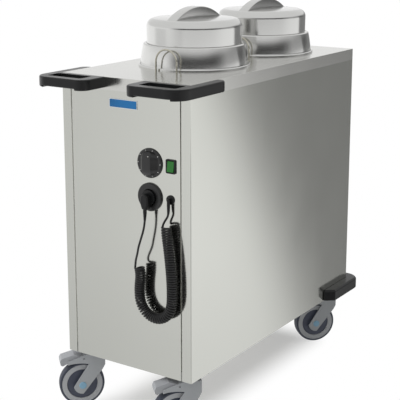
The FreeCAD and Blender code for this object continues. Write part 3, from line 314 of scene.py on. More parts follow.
@dataclass(frozen=True)
class Finishes:
    """All finishes of the object, each with what it gives the eye."""

    # Upright streaks in a clear, slightly soft mirror image
    panel: Finish = GroundSteel("Ground stainless steel, upright grain", "D2D3CD", 0.12)
    # Streaks along the trolley in a softer mirror image
    cover: Finish = GroundSteel("Ground stainless steel, long grain", "DADAD6", 0.19, grain=Grain.ALONG)
    # An even, dull grey from the rolling mill
    inner: Finish = GroundSteel("Mill-finish stainless steel", "B9B9B5", 0.3, line_mm=3.0)
    # Short drawing marks and a bright line along the wire
    wire: Finish = GroundSteel("Drawn stainless wire", "C9C6BA", 0.22, line_mm=0.8, run_mm=12.0)
    # Blotchy, dull silver
    zinc: Finish = GroundSteel("Zinc-plated steel", "A9ABAD", 0.36, line_mm=2.5, run_mm=5.0)
    # Dark grey with a bright edge on each coil
    spring: Finish = GroundSteel("Patented spring steel", "75777A", 0.34, line_mm=1.0, run_mm=8.0)
    # A pale satin line round the enamel
    plate_rim: Finish = GroundSteel("Anodised aluminium", "DDE3E6", 0.3, grain=Grain.ACROSS)
    # The rough, light grey skin of a casting
    heater: Finish = Moulding("Cast aluminium", "9A9A98", 0.55, grain_mm=1.2)
    # Flat pale grey without reflections
    post: Finish = Moulding("Silver-grey powder coat", "EDEDE6", 0.6)
    # Deep black with broad highlights on a leathery grain
    handle: Finish = Moulding("Black polyamide, grained", "121314", 0.3, gloss=0.3)
    # Nearly black, even and satin
    fitting: Finish = satin("Black ABS, satin", "161718", 0.34, 0.3)
    # Darker still, with a clearer highlight
    charcoal: Finish = satin("Charcoal ABS, satin", "0E0E0F", 0.36, 0.62)
    # Deep green with a small highlight
    rocker: Finish = Moulding("Green polycarbonate", "2B6E2E", 0.25, depth_mm=0.004, shade=0.1, gloss=0.25)
    # Flat off-white ink
    mark: Finish = Moulding("White print", "DCDCD8", 0.5, depth_mm=0.004)
    # An even, glassy blue
    plate: Finish = Moulding("Blue enamel", "1C6CA8", 0.25, depth_mm=0.005, shade=0.06, gloss=0.3)
    # A black, rubbery skin with a soft highlight on each curl
    cord: Finish = Moulding("Black polyurethane sheath", "0F0F10", 0.4, grain_mm=0.6, depth_mm=0.01)
    # An even mid grey, lightly grained
    fork: Finish = Moulding("Grey polyamide", "A9ACAF", 0.5, grain_mm=0.8, shade=0.1)
    # The same grey with a coarse, dull grain
    pedal: Finish = Moulding("Grey polyamide, tread", "A6A8AC", 0.55, grain_mm=1.1, depth_mm=0.08, shade=0.1)
    # A lighter grey, smooth and waxy
    rim: Finish = Moulding("Light grey polypropylene", "B0B2B5", 0.48, shade=0.08)
    # Waxy blue-grey
    hub: Finish = Moulding("Slate blue polypropylene", "434858", 0.5, shade=0.14)
    # Matt blue-grey with scuffed patches
    tyre: Finish = Moulding("Slate blue thermoplastic rubber", "3E4350", 0.62, shade=0.16)
    # Smooth pale blue with a soft shine
    cap: Finish = Moulding("Pale blue polypropylene", "86AFC8", 0.4, depth_mm=0.01, shade=0.06)


FINISH = Finishes()


# Meshes and pieces

def rounded(corners: Sequence[Corner], steps: int = 6, closed: bool = False) -> list[Vector]:
    """Follow a polyline and round its corners.

    Args:
        corners: places as (x, y, corner radius), in millimetres.
        steps: pieces in each rounded corner.
        closed: whether the line returns to its start.

    Returns:
        The points of the line, in metres.
    """
    points: list[Vector] = []
    count = len(corners)
    for index, (x, y, radius) in enumerate(corners):
        here = Vector((x, y))
        if radius <= 0 or (not closed and index in (0, count - 1)):
            points.append(here)
            continue
        before = (Vector(corners[index - 1][:2]) - here).normalized()
        after = (Vector(corners[(index + 1) % count][:2]) - here).normalized()
        half = before.angle(after) / 2
        centre = here + (before + after).normalized() * (radius / math.sin(half))
        start = here + before * (radius / math.tan(half)) - centre
        end = here + after * (radius / math.tan(half)) - centre
        turn = start.angle_signed(end)
        for step in range(steps + 1):
            angle = -turn * step / steps
            points.append(centre + Matrix.Rotation(angle, 2) @ start)
    return [point * MM for point in points]


def mirrored(half: Sequence[Corner], steps: int) -> list[Vector]:
    """Round a profile's upper half and its mirror image below, as one closed line."""
    lower = [(x, -y, radius) for x, y, radius in reversed(half)]
    return rounded(half, steps) + rounded(lower, steps)


def finish_mesh(work: bmesh.types.BMesh, name: str, crease: float = 35.0) -> Mesh:
    """Close a mesh up, turn its faces outwards and shade it smooth up to a crease angle.

    Args:
        work: the mesh being made; it is freed.
        name: the finished mesh's name.
        crease: edges sharper than this, in degrees, stay sharp.

    Returns:
        The finished mesh.
    """
    bmesh.ops.remove_doubles(work, verts=work.verts, dist=WELD)
    bmesh.ops.recalc_face_normals(work, faces=work.faces)
    mesh = bpy.data.meshes.new(name)
    work.to_mesh(mesh)
    work.free()
    mesh.shade_smooth()
    mesh.set_sharp_from_angle(angle=math.radians(crease))
    return mesh


def lathe(name: str, profile: Sequence[Vector], place: Matrix, segments: int = 96,
          closed: bool = True) -> Mesh:
    """Spin a profile round an axis.

    Args:
        name: the mesh's name.
        profile: points as (radius, height), in metres.
        place: where the axis and its foot go.
        segments: pieces round the axis.
        closed: whether the profile returns to its start.

    Returns:
        The spun mesh.
    """
    work = bmesh.new()
    turns = [2 * math.pi * number / segments for number in range(segments)]
    rings = []
    for radius, height in profile:
        if radius < WELD:
            rings.append([work.verts.new(place @ Vector((0, 0, height)))] * segments)
            continue
        spots = [Vector((radius * math.cos(turn), radius * math.sin(turn), height)) for turn in turns]
        rings.append([work.verts.new(place @ spot) for spot in spots])
    pairs = list(zip(rings, rings[1:]))
    if closed:
        pairs.append((rings[-1], rings[0]))
    for low, high in pairs:
        for number in range(segments):
            after = (number + 1) % segments
            ring = list(dict.fromkeys((low[number], low[after], high[after], high[number])))
            if len(ring) > 2:
                work.faces.new(ring)
    return finish_mesh(work, name)


def loft(name: str, rows: Sequence[Sequence[Vector]], closed: bool, crease: float = 50.0) -> Mesh:
    """Join cross-sections that have the same number of points.

    Args:
        name: the mesh's name.
        rows: the sections' points, in metres.
        closed: whether the sections are rings, with a face at either end.
        crease: edges sharper than this, in degrees, stay sharp.

    Returns:
        The joined mesh.
    """
    work = bmesh.new()
    made = [[work.verts.new(point) for point in row] for row in rows]
    for low, high in zip(made, made[1:]):
        edges = list(zip(low, high))
        following = edges[1:] + edges[:1] if closed else edges[1:]
        for (a, d), (b, c) in zip(edges, following):
            work.faces.new((a, b, c, d))
    if closed:
        work.faces.new(made[0])
        work.faces.new(made[-1])
    return finish_mesh(work, name, crease)


def prism(name: str, line: Sequence[Vector], low: float, high: float, place: Matrix) -> Mesh:
    """Raise a closed flat outline between two heights.

    Args:
        name: the mesh's name.
        line: the outline, in metres.
        low: lower height, in metres.
        high: upper height, in metres.
        place: where the outline's plane goes.

    Returns:
        The raised mesh.
    """
    work = bmesh.new()
    foot, head = [[work.verts.new(place @ Vector((x, y, z))) for x, y in line] for z in (low, high)]
    work.faces.new(foot)
    work.faces.new(head)
    for number in range(len(line)):
        after = (number + 1) % len(line)
        work.faces.new((foot[number], foot[after], head[after], head[number]))
    return finish_mesh(work, name)


def put(name: str, data: bpy.types.ID) -> bpy.types.Object:
    """Put a new object into the scene.

    Args:
        name: the object's name.
        data: its mesh, curve, lamp or camera.

    Returns:
        The object.
    """
    thing = bpy.data.objects.new(name, data)
    bpy.context.scene.collection.objects.link(thing)
    return thing


def taken(holder: bpy.types.Object, name: str) -> Mesh:
    """Take the plain mesh that an object's curve or modifiers give, and remove the object.

    Args:
        holder: the object.
        name: the mesh's name.

    Returns:
        The mesh.
    """
    graph = bpy.context.evaluated_depsgraph_get()
    mesh = bpy.data.meshes.new_from_object(holder.evaluated_get(graph))
    mesh.name = name
    holder.modifiers.clear()
    bpy.data.objects.remove(holder)
    return mesh


def softened(node: str, width_mm: float, segments: int = 3, crease: float = 30.0) -> Mesh:
    """Copy a CAD node and round its hard edges.

    Args:
        node: the node's name.
        width_mm: width of the rounded edges.
        segments: pieces across each edge.
        crease: edges sharper than this, in degrees, are rounded.

    Returns:
        The rounded mesh.
    """
    work = bmesh.new()
    work.from_mesh(frame["nodes"][node].data)
    bmesh.ops.remove_doubles(work, verts=work.verts, dist=2 * WELD)
    bmesh.ops.dissolve_limit(work, angle_limit=math.radians(FLAT), verts=work.verts, edges=work.edges)
    mesh = bpy.data.meshes.new(node + "_soft")
    work.to_mesh(mesh)
    work.free()
    mesh.shade_smooth()
    holder = put(node + "_soft", mesh)
    bevel = holder.modifiers.new("edges", "BEVEL")
    bevel.width, bevel.segments = width_mm * MM, segments
    bevel.limit_method, bevel.angle_limit = "ANGLE", math.radians(crease)
    bevel.use_clamp_overlap = True
    shading = holder.modifiers.new("shading", "WEIGHTED_NORMAL")
    shading.weight = FACE_WEIGHT
    return taken(holder, node + "_rounded")


class Line(Enum):
    """The way in which a curve goes by its points."""

    STRAIGHT = "POLY"
    SMOOTH = "NURBS"


def thread(name: str, points: Sequence[Vector], kind: Line = Line.SMOOTH, resolution: int = 4,
           radius: float = 0.0, rounds: int = 4) -> bpy.types.Curve:
    """An open curve along these points.

    Args:
        name: the curve's name.
        points: its points, in metres; a smooth curve has them as control points.
        kind: straight or smooth.
        resolution: steps between control points.
        radius: half its thickness, in metres; 0 leaves a bare line.
        rounds: how finely its cross-section is rounded.

    Returns:
        The curve.
    """
    curve = bpy.data.curves.new(name, "CURVE")
    curve.dimensions, curve.resolution_u, curve.twist_mode = "3D", resolution, "MINIMUM"
    line = curve.splines.new(kind.value)
    line.points.add(len(points) - 1)
    for point, spot in zip(line.points, points):
        point.co = (*spot, 1)
    if kind is Line.SMOOTH:
        line.order_u = 3
        line.use_endpoint_u = True
    if radius:
        curve.bevel_depth, curve.bevel_resolution, curve.use_fill_caps = radius, rounds, True
    return curve


@dataclass
class Path:
    """A line of points, with the distance to each of them along the line."""

    points: Sequence[Vector]

    def __post_init__(self) -> None:
        """Add up the distances."""
        self.lengths = [0.0]
        for a, b in zip(self.points, self.points[1:]):
            self.lengths.append(self.lengths[-1] + (b - a).length)

    @classmethod
    def read(cls, name: str, curve: bpy.types.Curve) -> "Path":
        """The line that a curve without thickness draws."""
        return cls([vertex.co.copy() for vertex in taken(put(name, curve), name).vertices])

    def at(self, distance: float) -> tuple[Vector, Vector]:
        """Find a place on the line.

        Args:
            distance: metres from its start.

        Returns:
            The point and the direction of the line there.
        """
        lengths = self.lengths
        index = next((i for i in range(1, len(lengths)) if lengths[i] >= distance), len(lengths) - 1)
        share = (distance - lengths[index - 1]) / (lengths[index] - lengths[index - 1])
        before, after = self.points[index - 1], self.points[index]
        return before.lerp(after, share), (after - before).normalized()

    def nearest(self, spot: Vector) -> float:
        """Distance to the point of the line that is nearest to a place."""
        return min(zip(self.points, self.lengths), key=lambda pair: (pair[0] - spot).length)[1]

    def bend(self, distance: float, view: float) -> float:
        """How much the line bends at a place.

        Args:
            distance: metres from its start.
            view: how far before and behind the place the directions are compared, in metres.

        Returns:
            The turn in radians per metre.
        """
        ahead = self.at(min(distance + view, self.lengths[-1]))[1]
        behind = self.at(max(distance - view, 0))[1]
        return ahead.angle(behind, 0.0) / (2 * view)


def ease(share: float) -> float:
    """Go smoothly from 0 to 1."""
    share = min(max(share, 0.0), 1.0)
    return share * share * (3 - 2 * share)


def merged(name: str, meshes: Sequence[Mesh]) -> Mesh:
    """Put several meshes into one, keeping each one's own surface.

    Args:
        name: the new mesh's name.
        meshes: the meshes.

    Returns:
        The new mesh.
    """
    work = bmesh.new()
    for mesh in meshes:
        work.from_mesh(mesh)
    result = bpy.data.meshes.new(name)
    work.to_mesh(result)
    work.free()
    return result


def add_piece(name: str, mesh: Mesh, finish: Finish, body: str,
              stands_for: Sequence[str] = ()) -> bpy.types.Object:
    """Put a finished mesh into the scene on its body.

    Args:
        name: the piece's name.
        mesh: its mesh, already in place.
        finish: its finish.
        body: the body that it moves with.
        stands_for: nodes that it replaces.

    Returns:
        The new piece.
    """
    piece = put(name, mesh)
    mesh.materials.clear()
    mesh.materials.append(finish.material())
    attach(piece, body)
    if stands_for:
        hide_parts(*stands_for)
    log.info("%s rides on %s", name, body)
    return piece


def dress_node(node: str, finish: Finish) -> None:
    """Give a CAD node that stays as it is a better finish.

    Args:
        node: the node's name.
        finish: its finish.
    """
    piece = frame["nodes"][node]
    piece.data.materials.clear()
    piece.data.materials.append(finish.material())
    log.info("%s keeps its solid in %s", node, finish.name)


def joint(name: str) -> dict[str, Any]:
    """A joint of the frame by its name."""
    return next(item for item in frame["joints"] if item["name"] == name)


def facing_out(x: float, z: float) -> Matrix:
    """Turn a shape made along +Z so that it stands out of the control panel at a place in millimetres."""
    return Matrix.Translation((x * MM, FRONT, z * MM)) @ Matrix.Rotation(math.pi / 2, 4, "X")


@dataclass
class Repeat:
    """A Geometry Nodes tree that repeats a small shape, with named inputs for its sizes."""

    name: str
    sizes: dict[str, float]

    def build(self, shape: Callable[[Tree, Node], Node], finish: Finish) -> Mesh:
        """Make the tree, run it once and give its result.

        Args:
            shape: adds the tree's own nodes and gives the last one.
            finish: the finish set on the result.

        Returns:
            The plain mesh.
        """
        tree = bpy.data.node_groups.new(self.name, "GeometryNodeTree")
        tree.interface.new_socket("Geometry", in_out="OUTPUT", socket_type="NodeSocketGeometry")
        for size in self.sizes:
            tree.interface.new_socket(size, in_out="INPUT", socket_type="NodeSocketFloat")
        entry = add_node(tree, "NodeGroupInput")
        real = add_node(tree, "GeometryNodeRealizeInstances", {0: shape(tree, entry)})
        paint = {"Geometry": real, "Material": finish.material()}
        add_node(tree, "NodeGroupOutput", {0: add_node(tree, "GeometryNodeSetMaterial", paint)})
        holder = put(self.name, bpy.data.meshes.new(self.name))
        modifier = holder.modifiers.new(self.name, "NODES")
        modifier.node_group = tree
        for item in tree.interface.items_tree:
            if item.in_out == "INPUT":
                modifier[item.identifier] = self.sizes[item.name]
        return taken(holder, self.name)


# Sub-assemblies

@dataclass
class Cabinet:
    """Sheet-metal body, handles and bumpers."""

    handle_edge: float = 4.4
    bumper_edge: float = 2.6
    edge_steps: int = 4
    plate_centre: Pair = (-2.5, 866.0)
    plate_size: Pair = (87.0, 23.0)
    plate_corner: float = 2.0
    rim_width: float = 1.6
    rim_rise: float = 1.6
    enamel_rise: float = 2.2
    castor_sheet: float = 3.0
    bolt_reach: Pair = (28.0, 36.0)
    bolt_radius: float = 6.5
    bolt_height: float = 5.0

    def build(self) -> None:
        """Dress the panels and make the mouldings."""
        for node in ("side_panel_left", "side_panel_right", "front_panel", "rear_panel"):
            dress_node(node, FINISH.panel)
        dress_node("top_cover", FINISH.cover)
        dress_node("base_tray", FINISH.inner)
        dress_node("frame_posts", FINISH.post)
        dress_node("castor_plates", FINISH.zinc)
        dress_node("terminal_block", FINISH.fitting)
        for side in ("left", "right"):
            for name, node, edge in (
                    (f"handle_{side}", f"push_handle_{side}", self.handle_edge),
                    (f"bumper_{side}", f"corner_bumper_{side}", self.bumper_edge)):
                mesh = softened(node, edge, self.edge_steps)
                add_piece(name, mesh, FINISH.handle, "cabinet", [node])
        self.blank_plate()
        self.plate_bolts()

    def blank_plate(self) -> None:
        """A plain enamel plate in a thin metal rim."""
        place, corner = facing_out(*self.plate_centre), self.plate_corner
        wide, high = (side / 2 for side in self.plate_size)
        for name, inset, low, rise, finish in (
                ("plate_rim", 0.0, 0.0, self.rim_rise, FINISH.plate_rim),
                ("plate_enamel", self.rim_width, self.rim_rise, self.enamel_rise, FINISH.plate)):
            x, y = wide - inset, high - inset
            line = rounded([(-x, -y, corner), (x, -y, corner), (x, y, corner), (-x, y, corner)], closed=True)
            mesh = prism(name, line, low * MM, rise * MM, place)
            add_piece(name, mesh, finish, "cabinet")

    def plate_bolts(self) -> None:
        """Hexagon heads under the castor plates, repeated from one head."""
        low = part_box("castor_plates")[1].z - self.castor_sheet * MM
        spots = [Vector(joint(f"castor_{name}_swivel")["pos_m"]) for name in Castor.places()]
        across, along = self.bolt_reach
        points = [Vector((spot.x + x * across * MM, spot.y + y * along * MM, low))
                  for spot in spots for x in (-1, 1) for y in (-1, 1)]
        seats = bpy.data.meshes.new("bolt_seats")
        seats.from_pydata(points, [], [])
        holder = put("bolt_seats", seats)

        def heads(tree: Tree, entry: Node) -> Node:
            """Hang a head under every seat.

            Args:
                tree: the tree that gets the nodes.
                entry: the node with the named sizes.

            Returns:
                The node that gives the heads.
            """
            radius, height = entry.outputs["Head radius"], entry.outputs["Head height"]
            hexagon = {"Vertices": 6, "Radius": radius, "Depth": height}
            head = add_node(tree, "GeometryNodeMeshCylinder", hexagon)
            source = add_node(tree, "GeometryNodeObjectInfo", {"Object": holder}).outputs["Geometry"]
            spread = add_node(tree, "GeometryNodeMeshToPoints", {"Mesh": source})
            drop = add_node(tree, "ShaderNodeMath", {0: height, 1: -0.5}, operation="MULTIPLY")
            offset = add_node(tree, "ShaderNodeCombineXYZ", {2: drop})
            lowered = add_node(tree, "GeometryNodeSetPosition", {"Geometry": spread, "Offset": offset})
            return add_node(tree, "GeometryNodeInstanceOnPoints", {"Points": lowered, "Instance": head})

        sizes = {"Head radius": self.bolt_radius * MM, "Head height": self.bolt_height * MM}
        mesh = Repeat("castor_bolts", sizes).build(heads, FINISH.zinc)
        bpy.data.objects.remove(holder)
        add_piece("castor_bolts", mesh, FINISH.zinc, "cabinet")


@dataclass
class PlateTube:
    """One tube with its platform, spring, lid and wire loop."""

    end: str
    rim: float = 152.0
    rim_height: float = 8.0
    rim_drop: float = 2.0
    rim_roll: float = 2.9
    inner_roll: float = 1.7
    lip: float = 0.5
    wall: float = 145.5
    wall_foot: float = 0.8
    foot_ledge: float = 1.4
    wall_top: float = 138.2
    wall_sweep: float = 330.0
    bulge: float = 2.0
    step: float = 56.0
    bead: float = 5.0
    dome: float = 128.5
    dome_neck: float = 0.3
    dome_flare: float = 1.2
    dome_height: float = 127.0
    shoulder: float = 21.0
    crown: float = 1.5
    sheet: float = 1.2
    seam: float = 1.2
    # Radii of the pressing's small corners: in a groove, inside the sheet and on an edge
    groove_corner: float = 0.3
    inner_corner: float = 0.4
    edge_corner: float = 0.6
    outer_steps: int = 10
    inner_steps: int = 8
    lid_segments: int = 160
    ridge_length: float = 214.0
    ridge_width: float = 30.0
    ridge_rise: float = 31.0
    ridge_root: float = -1.5
    ridge_edge: float = 2.2
    # Near its ends the ridge is too low for its full edge radius and gets a share of its height instead
    low_share: float = 0.8
    low_edge: float = 0.05
    ridge_rows: int = 48
    arch_steps: int = 24
    loop_rounds: int = 5
    loop_crease: float = 40.0
    spring_turns: float = 16.0
    spring_wire: float = 5.0
    spring_steps: int = 28
    wire_sides: int = 10

    def __post_init__(self) -> None:
        """Find the tube's axis and polish its lid round it."""
        low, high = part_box(f"lid_{self.end}")
        self.y = (low.y + high.y) / 2
        name = f"Spun stainless steel, {self.end} lid"
        self.polish = SpunSteel(name, "D6D6D4", 0.17, centre=(0.0, self.y))

    def build(self) -> None:
        """Make the lid, loop and spring, and dress what is inside the tube."""
        self.lid()
        self.loop()
        self.spring()
        dress_node(f"tube_{self.end}", FINISH.inner)
        dress_node(f"platform_{self.end}", FINISH.inner)
        dress_node(f"plate_guides_{self.end}", FINISH.wire)
        dress_node(f"heater_{self.end}", FINISH.heater)

    def lid(self) -> None:
        """Spin the lid's sheet and set the arched grip ridge on it."""
        sheet, seam, bead = self.sheet, self.seam, self.bead
        tight, inner, edge = self.groove_corner, self.inner_corner, self.edge_corner
        brim, ledge, top = self.rim_height - self.rim_drop, self.step + bead, self.dome_height
        foot, ring = self.wall + self.wall_foot, self.wall + self.foot_ledge
        groove, dome = self.dome + 2 * seam, self.dome + self.dome_flare
        middle = (foot + self.wall_top) / 2 + self.bulge
        outside = [
            (self.rim, 0, 0), (self.rim, brim, self.rim_roll), (ring + seam, brim, self.lip),
            (ring + seam, brim - seam, tight), (ring, brim - seam, tight), (foot, self.rim_height, edge),
            (middle, (self.rim_height + ledge) / 2, self.wall_sweep), (self.wall_top, ledge, bead),
            (groove, ledge, edge), (groove, ledge - 2 * seam, tight),
            (self.dome + self.dome_neck, ledge - 2 * seam, tight), (dome, top, self.shoulder),
            (0, top + self.crown, 0)]
        inside = [
            (0, top + self.crown - sheet, 0), (dome - sheet, top - sheet, self.shoulder - sheet),
            (self.dome - sheet, ledge - sheet, inner), (self.wall_top - sheet, ledge - sheet, bead - sheet),
            (self.wall - sheet, brim - sheet, inner), (self.rim - sheet, brim - sheet, self.inner_roll),
            (self.rim - sheet, 0, 0)]
        name, place = f"lid_{self.end}", Matrix.Translation((0, self.y, TOP))
        line = rounded(outside, self.outer_steps) + rounded(inside, self.inner_steps)
        shell = lathe(f"lid_shell_{self.end}", line, place, self.lid_segments)
        pressing = merged(f"{name}_pressing", [shell, self.ridge()])
        add_piece(f"{name}_pressing", pressing, self.polish, name, [name])

    def ridge(self) -> Mesh:
        """Sweep the ridge's cross-section along its arch.

        Returns:
            The ridge's mesh, in place on the lid.
        """
        half, wide = self.ridge_length / 2, self.ridge_width / 2
        rise, root = self.ridge_rise, self.ridge_root
        radius = (half ** 2 + rise ** 2) / (2 * rise)
        rows = []
        for number in range(self.ridge_rows + 1):
            along = half * math.sin(math.pi * (number / self.ridge_rows - 0.5))
            height = math.sqrt(max(radius ** 2 - along ** 2, 0)) - (radius - rise)
            edge = min(self.ridge_edge, height * self.low_share + self.low_edge)
            section = rounded([
                (-wide, root, 0), (-wide, height, edge), (wide, height, edge), (wide, root, 0)], SMALL)
            y, base = self.y + along * MM, TOP + self.dome_height * MM
            rows.append([Vector((x, y, base + z)) for x, z in section])
        return loft("ridge", rows, closed=False)

    def loop(self) -> None:
        """Bend the wire stop loop along its legs and arch."""
        name, node = f"loop_{self.end}", f"stop_loop_{self.end}"
        low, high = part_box(node)
        wire = (high.y - low.y) / 2
        x, y, bend = (low.x + high.x) / 2, (low.y + high.y) / 2, (high.x - low.x) / 2 - wire
        leg = high.z - wire - bend
        turns = [math.pi * number / self.arch_steps for number in range(self.arch_steps + 1)]
        arch = [(x - bend * math.cos(turn), y, leg + bend * math.sin(turn)) for turn in turns]
        path = [Vector(spot) for spot in ((x - bend, y, low.z), *arch, (x + bend, y, low.z))]
        bent = thread("loop_wire", path, Line.STRAIGHT, radius=wire, rounds=self.loop_rounds)
        mesh = taken(put("loop_wire", bent), name)
        mesh.shade_smooth()
        mesh.set_sharp_from_angle(angle=math.radians(self.loop_crease))
        add_piece(name, mesh, FINISH.wire, "cabinet", [node])

    def spring(self) -> None:
        """Coil the lift spring."""
        low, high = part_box(f"lift_spring_{self.end}")
        wire, whole = self.spring_wire * MM / 2, high.z - low.z

        def coil(tree: Tree, entry: Node) -> Node:
            """Sweep the wire along a spiral.

            Args:
                tree: the tree that gets the nodes.
                entry: the node with the named sizes.

            Returns:
                The node that gives the coil.
            """
            size = entry.outputs
            path = add_node(tree, "GeometryNodeCurveSpiral", {
                "Resolution": self.spring_steps, "Rotations": size["Turns"], "Height": size["Height"],
                "Start Radius": size["Radius"], "End Radius": size["Radius"]})
            circle = {"Resolution": self.wire_sides, "Radius": size["Wire radius"]}
            profile = add_node(tree, "GeometryNodeCurvePrimitiveCircle", circle)
            sweep = {"Curve": path, "Profile Curve": profile, "Fill Caps": True}
            return add_node(tree, "GeometryNodeCurveToMesh", sweep)

        sizes = {"Turns": self.spring_turns, "Height": whole - self.spring_wire * MM,
                 "Radius": (high.x - low.x) / 2 - wire, "Wire radius": wire}
        name, sink = f"spring_{self.end}", f"platform_{self.end}_sink"
        mesh = Repeat(name, sizes).build(coil, FINISH.spring)
        mesh.transform(Matrix.Translation((0, self.y, low.z + wire)))
        mesh.shade_smooth()
        piece = add_piece(name, mesh, FINISH.spring, "cabinet", [f"lift_spring_{self.end}"])
        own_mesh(piece)


@dataclass
class Controls:
    """Thermostat, switch, parking socket and gland."""

    knob: Pair = (79.0, 725.0)
    knob_gap: float = 0.6
    skirt: float = 38.0
    skirt_face: float = 4.6
    skirt_bevel: float = 3.0
    skirt_fall: float = 0.4
    # Radii of the skirt's outer edge and of the edge of its face
    skirt_edges: Pair = (1.3, 1.6)
    skirt_steps: int = 5
    spindle_radius: float = 3.0
    spindle_length: float = 16.0
    spindle_edge: float = 0.4
    grip: float = 31.0
    grip_share: float = 0.97
    bar_foot: float = 28.0
    bar_root: float = 0.8
    bar_crest: float = 12.5
    crest_share: float = 0.8
    bar_rise: float = 13.5
    # The crest's arch: 1 is a half ellipse, and less is flatter
    bar_arch: float = 0.7
    bar_edge: float = 1.6
    bar_rows: int = 32
    tick_count: int = 10
    tick_inset: float = 4.4
    tick_size: Place = (3.4, 1.1, 0.3)
    tick_sunk: float = 0.1
    dot: Pair = (5.0, 19.0)
    dot_radius: float = 1.6
    dot_root: float = -0.8
    dot_rise: float = 0.4
    dot_crown: float = 0.45
    dot_edge: float = 0.2
    dot_sunk: float = 0.3
    dot_segments: int = 32
    switch_edge: float = 0.9
    socket: Pair = (79.0, 638.0)
    socket_bore: float = 20.5
    socket_cup: float = 24.0
    socket_rim: float = 36.5
    socket_rise: float = 6.0
    socket_back: float = -27.0
    # Radii at the bottom of the bore, at its mouth and on the rim
    socket_edges: Place = (0.5, 1.2, 3.0)

    def build(self) -> None:
        """Make every control."""
        self.thermostat()
        self.switch()
        self.parking_socket()
        dress_node("cable_gland", FINISH.fitting)
        dress_node("thermostat_body", FINISH.fitting)

    def thermostat(self) -> None:
        """Spin the knob's skirt, set its grip bar on it, and print its scale and its dot."""
        place = facing_out(*self.knob) @ Matrix.Translation((0, 0, self.knob_gap * MM))
        rim, face, pin, inner = self.skirt, self.skirt_face, self.spindle_radius, -self.spindle_length
        outer, upper = self.skirt_edges
        line = rounded([
            (0, inner, 0), (pin, inner, self.spindle_edge), (pin, 0, 0), (rim, 0, 0), (rim, face / 2, outer),
            (rim - self.skirt_bevel, face - self.skirt_fall, upper), (0, face, 0)], self.skirt_steps)
        knob = merged("knob", [lathe("knob_skirt", line, place, closed=False), self.grip_bar(place)])
        body, slot = "thermostat_knob", "black_fitting"
        add_piece("knob", knob, FINISH.charcoal, body, ["thermostat_knob"])

        def ticks(tree: Tree, entry: Node) -> Node:
            """Set short bars on a ring, each pointing to its middle.

            Args:
                tree: the tree that gets the nodes.
                entry: the node with the named sizes.

            Returns:
                The node that gives the bars.
            """
            circle = {"Vertices": self.tick_count, "Radius": entry.outputs["Ring radius"]}
            ring = add_node(tree, "GeometryNodeMeshCircle", circle)
            points = add_node(tree, "GeometryNodeMeshToPoints", {"Mesh": ring})
            size = tuple(side * MM for side in self.tick_size)
            bar = add_node(tree, "GeometryNodeMeshCube", {"Size": size})
            way = {"Vector": add_node(tree, "GeometryNodeInputPosition")}
            turn = add_node(tree, "FunctionNodeAlignRotationToVector", way, axis="X", pivot_axis="Z")
            spread = {"Points": points, "Instance": bar, "Rotation": turn}
            return add_node(tree, "GeometryNodeInstanceOnPoints", spread)

        sizes = {"Ring radius": (self.skirt - self.tick_inset) * MM}
        marks = Repeat("scale_ticks", sizes).build(ticks, FINISH.mark)
        marks.transform(place @ Matrix.Translation((0, 0, (face - self.tick_sunk) * MM)))
        add_piece("scale_ticks", marks, FINISH.mark, body)
        across, up = self.dot
        height = self.bar_height(up) - self.dot_sunk
        spot = place @ Matrix.Translation((across * MM, up * MM, height * MM))
        radius, root = self.dot_radius, self.dot_root
        line = rounded([
            (0, root, 0), (radius, root, 0), (radius, self.dot_rise, self.dot_edge),
            (0, self.dot_crown, 0)], SMALL)
        mesh = lathe("pointer_dot", line, spot, self.dot_segments)
        add_piece("pointer_dot", mesh, FINISH.mark, body)

    def bar_height(self, along: float) -> float:
        """Height of the grip bar's crest at a place along it, in millimetres."""
        share = math.sqrt(max(1 - (along / self.grip) ** 2, 0))
        return self.skirt_face + self.bar_rise * share ** self.bar_arch

    def grip_bar(self, place: Matrix) -> Mesh:
        """Loft the knob's upright grip bar from its cross-sections.

        Args:
            place: where the knob's axis and its foot go.

        Returns:
            The bar's mesh, in place on the skirt.
        """
        root, edge, rows = self.skirt_face - self.bar_root, self.bar_edge, []
        for number in range(self.bar_rows + 1):
            along = self.grip_share * self.grip * math.sin(math.pi * (number / self.bar_rows - 0.5))
            foot = min(self.bar_foot, self.grip * math.sqrt(1 - (along / self.grip) ** 2))
            crest, rise = min(self.bar_crest, self.crest_share * foot), self.bar_height(along)
            section = rounded([
                (-foot, root, 0), (-crest, rise, edge), (crest, rise, edge), (foot, root, 0)], SMALL)
            rows.append([place @ Vector((x, along * MM, z)) for x, z in section])
        return loft("grip_bar", rows, closed=True)

    def switch(self) -> None:
        """Round the bezel and the rocker."""
        for name, node, finish, body, slot in (
                ("switch_bezel", "switch_housing", FINISH.fitting, "cabinet", "black_fitting"),
                ("rocker", "switch_rocker", FINISH.rocker, "switch_rocker", "green_rocker")):
            add_piece(name, softened(node, self.switch_edge), finish, body, [node])

    def parking_socket(self) -> None:
        """Spin the socket in which the plug is parked."""
        bore, cup, rim, rise = self.socket_bore, self.socket_cup, self.socket_rim, self.socket_rise
        back, floor = self.socket_back, self.socket_back + cup - bore
        bottom, mouth, outer = self.socket_edges
        line = rounded([
            (0, back, 0), (0, floor, 0), (bore, floor, bottom), (bore, rise, mouth), (rim, rise, outer),
            (rim, 0, 0), (cup, 0, 0), (cup, back, 0)])
        mesh = lathe("socket", line, facing_out(*self.socket))
        add_piece("socket", mesh, FINISH.charcoal, "cabinet", ["parking_socket"])


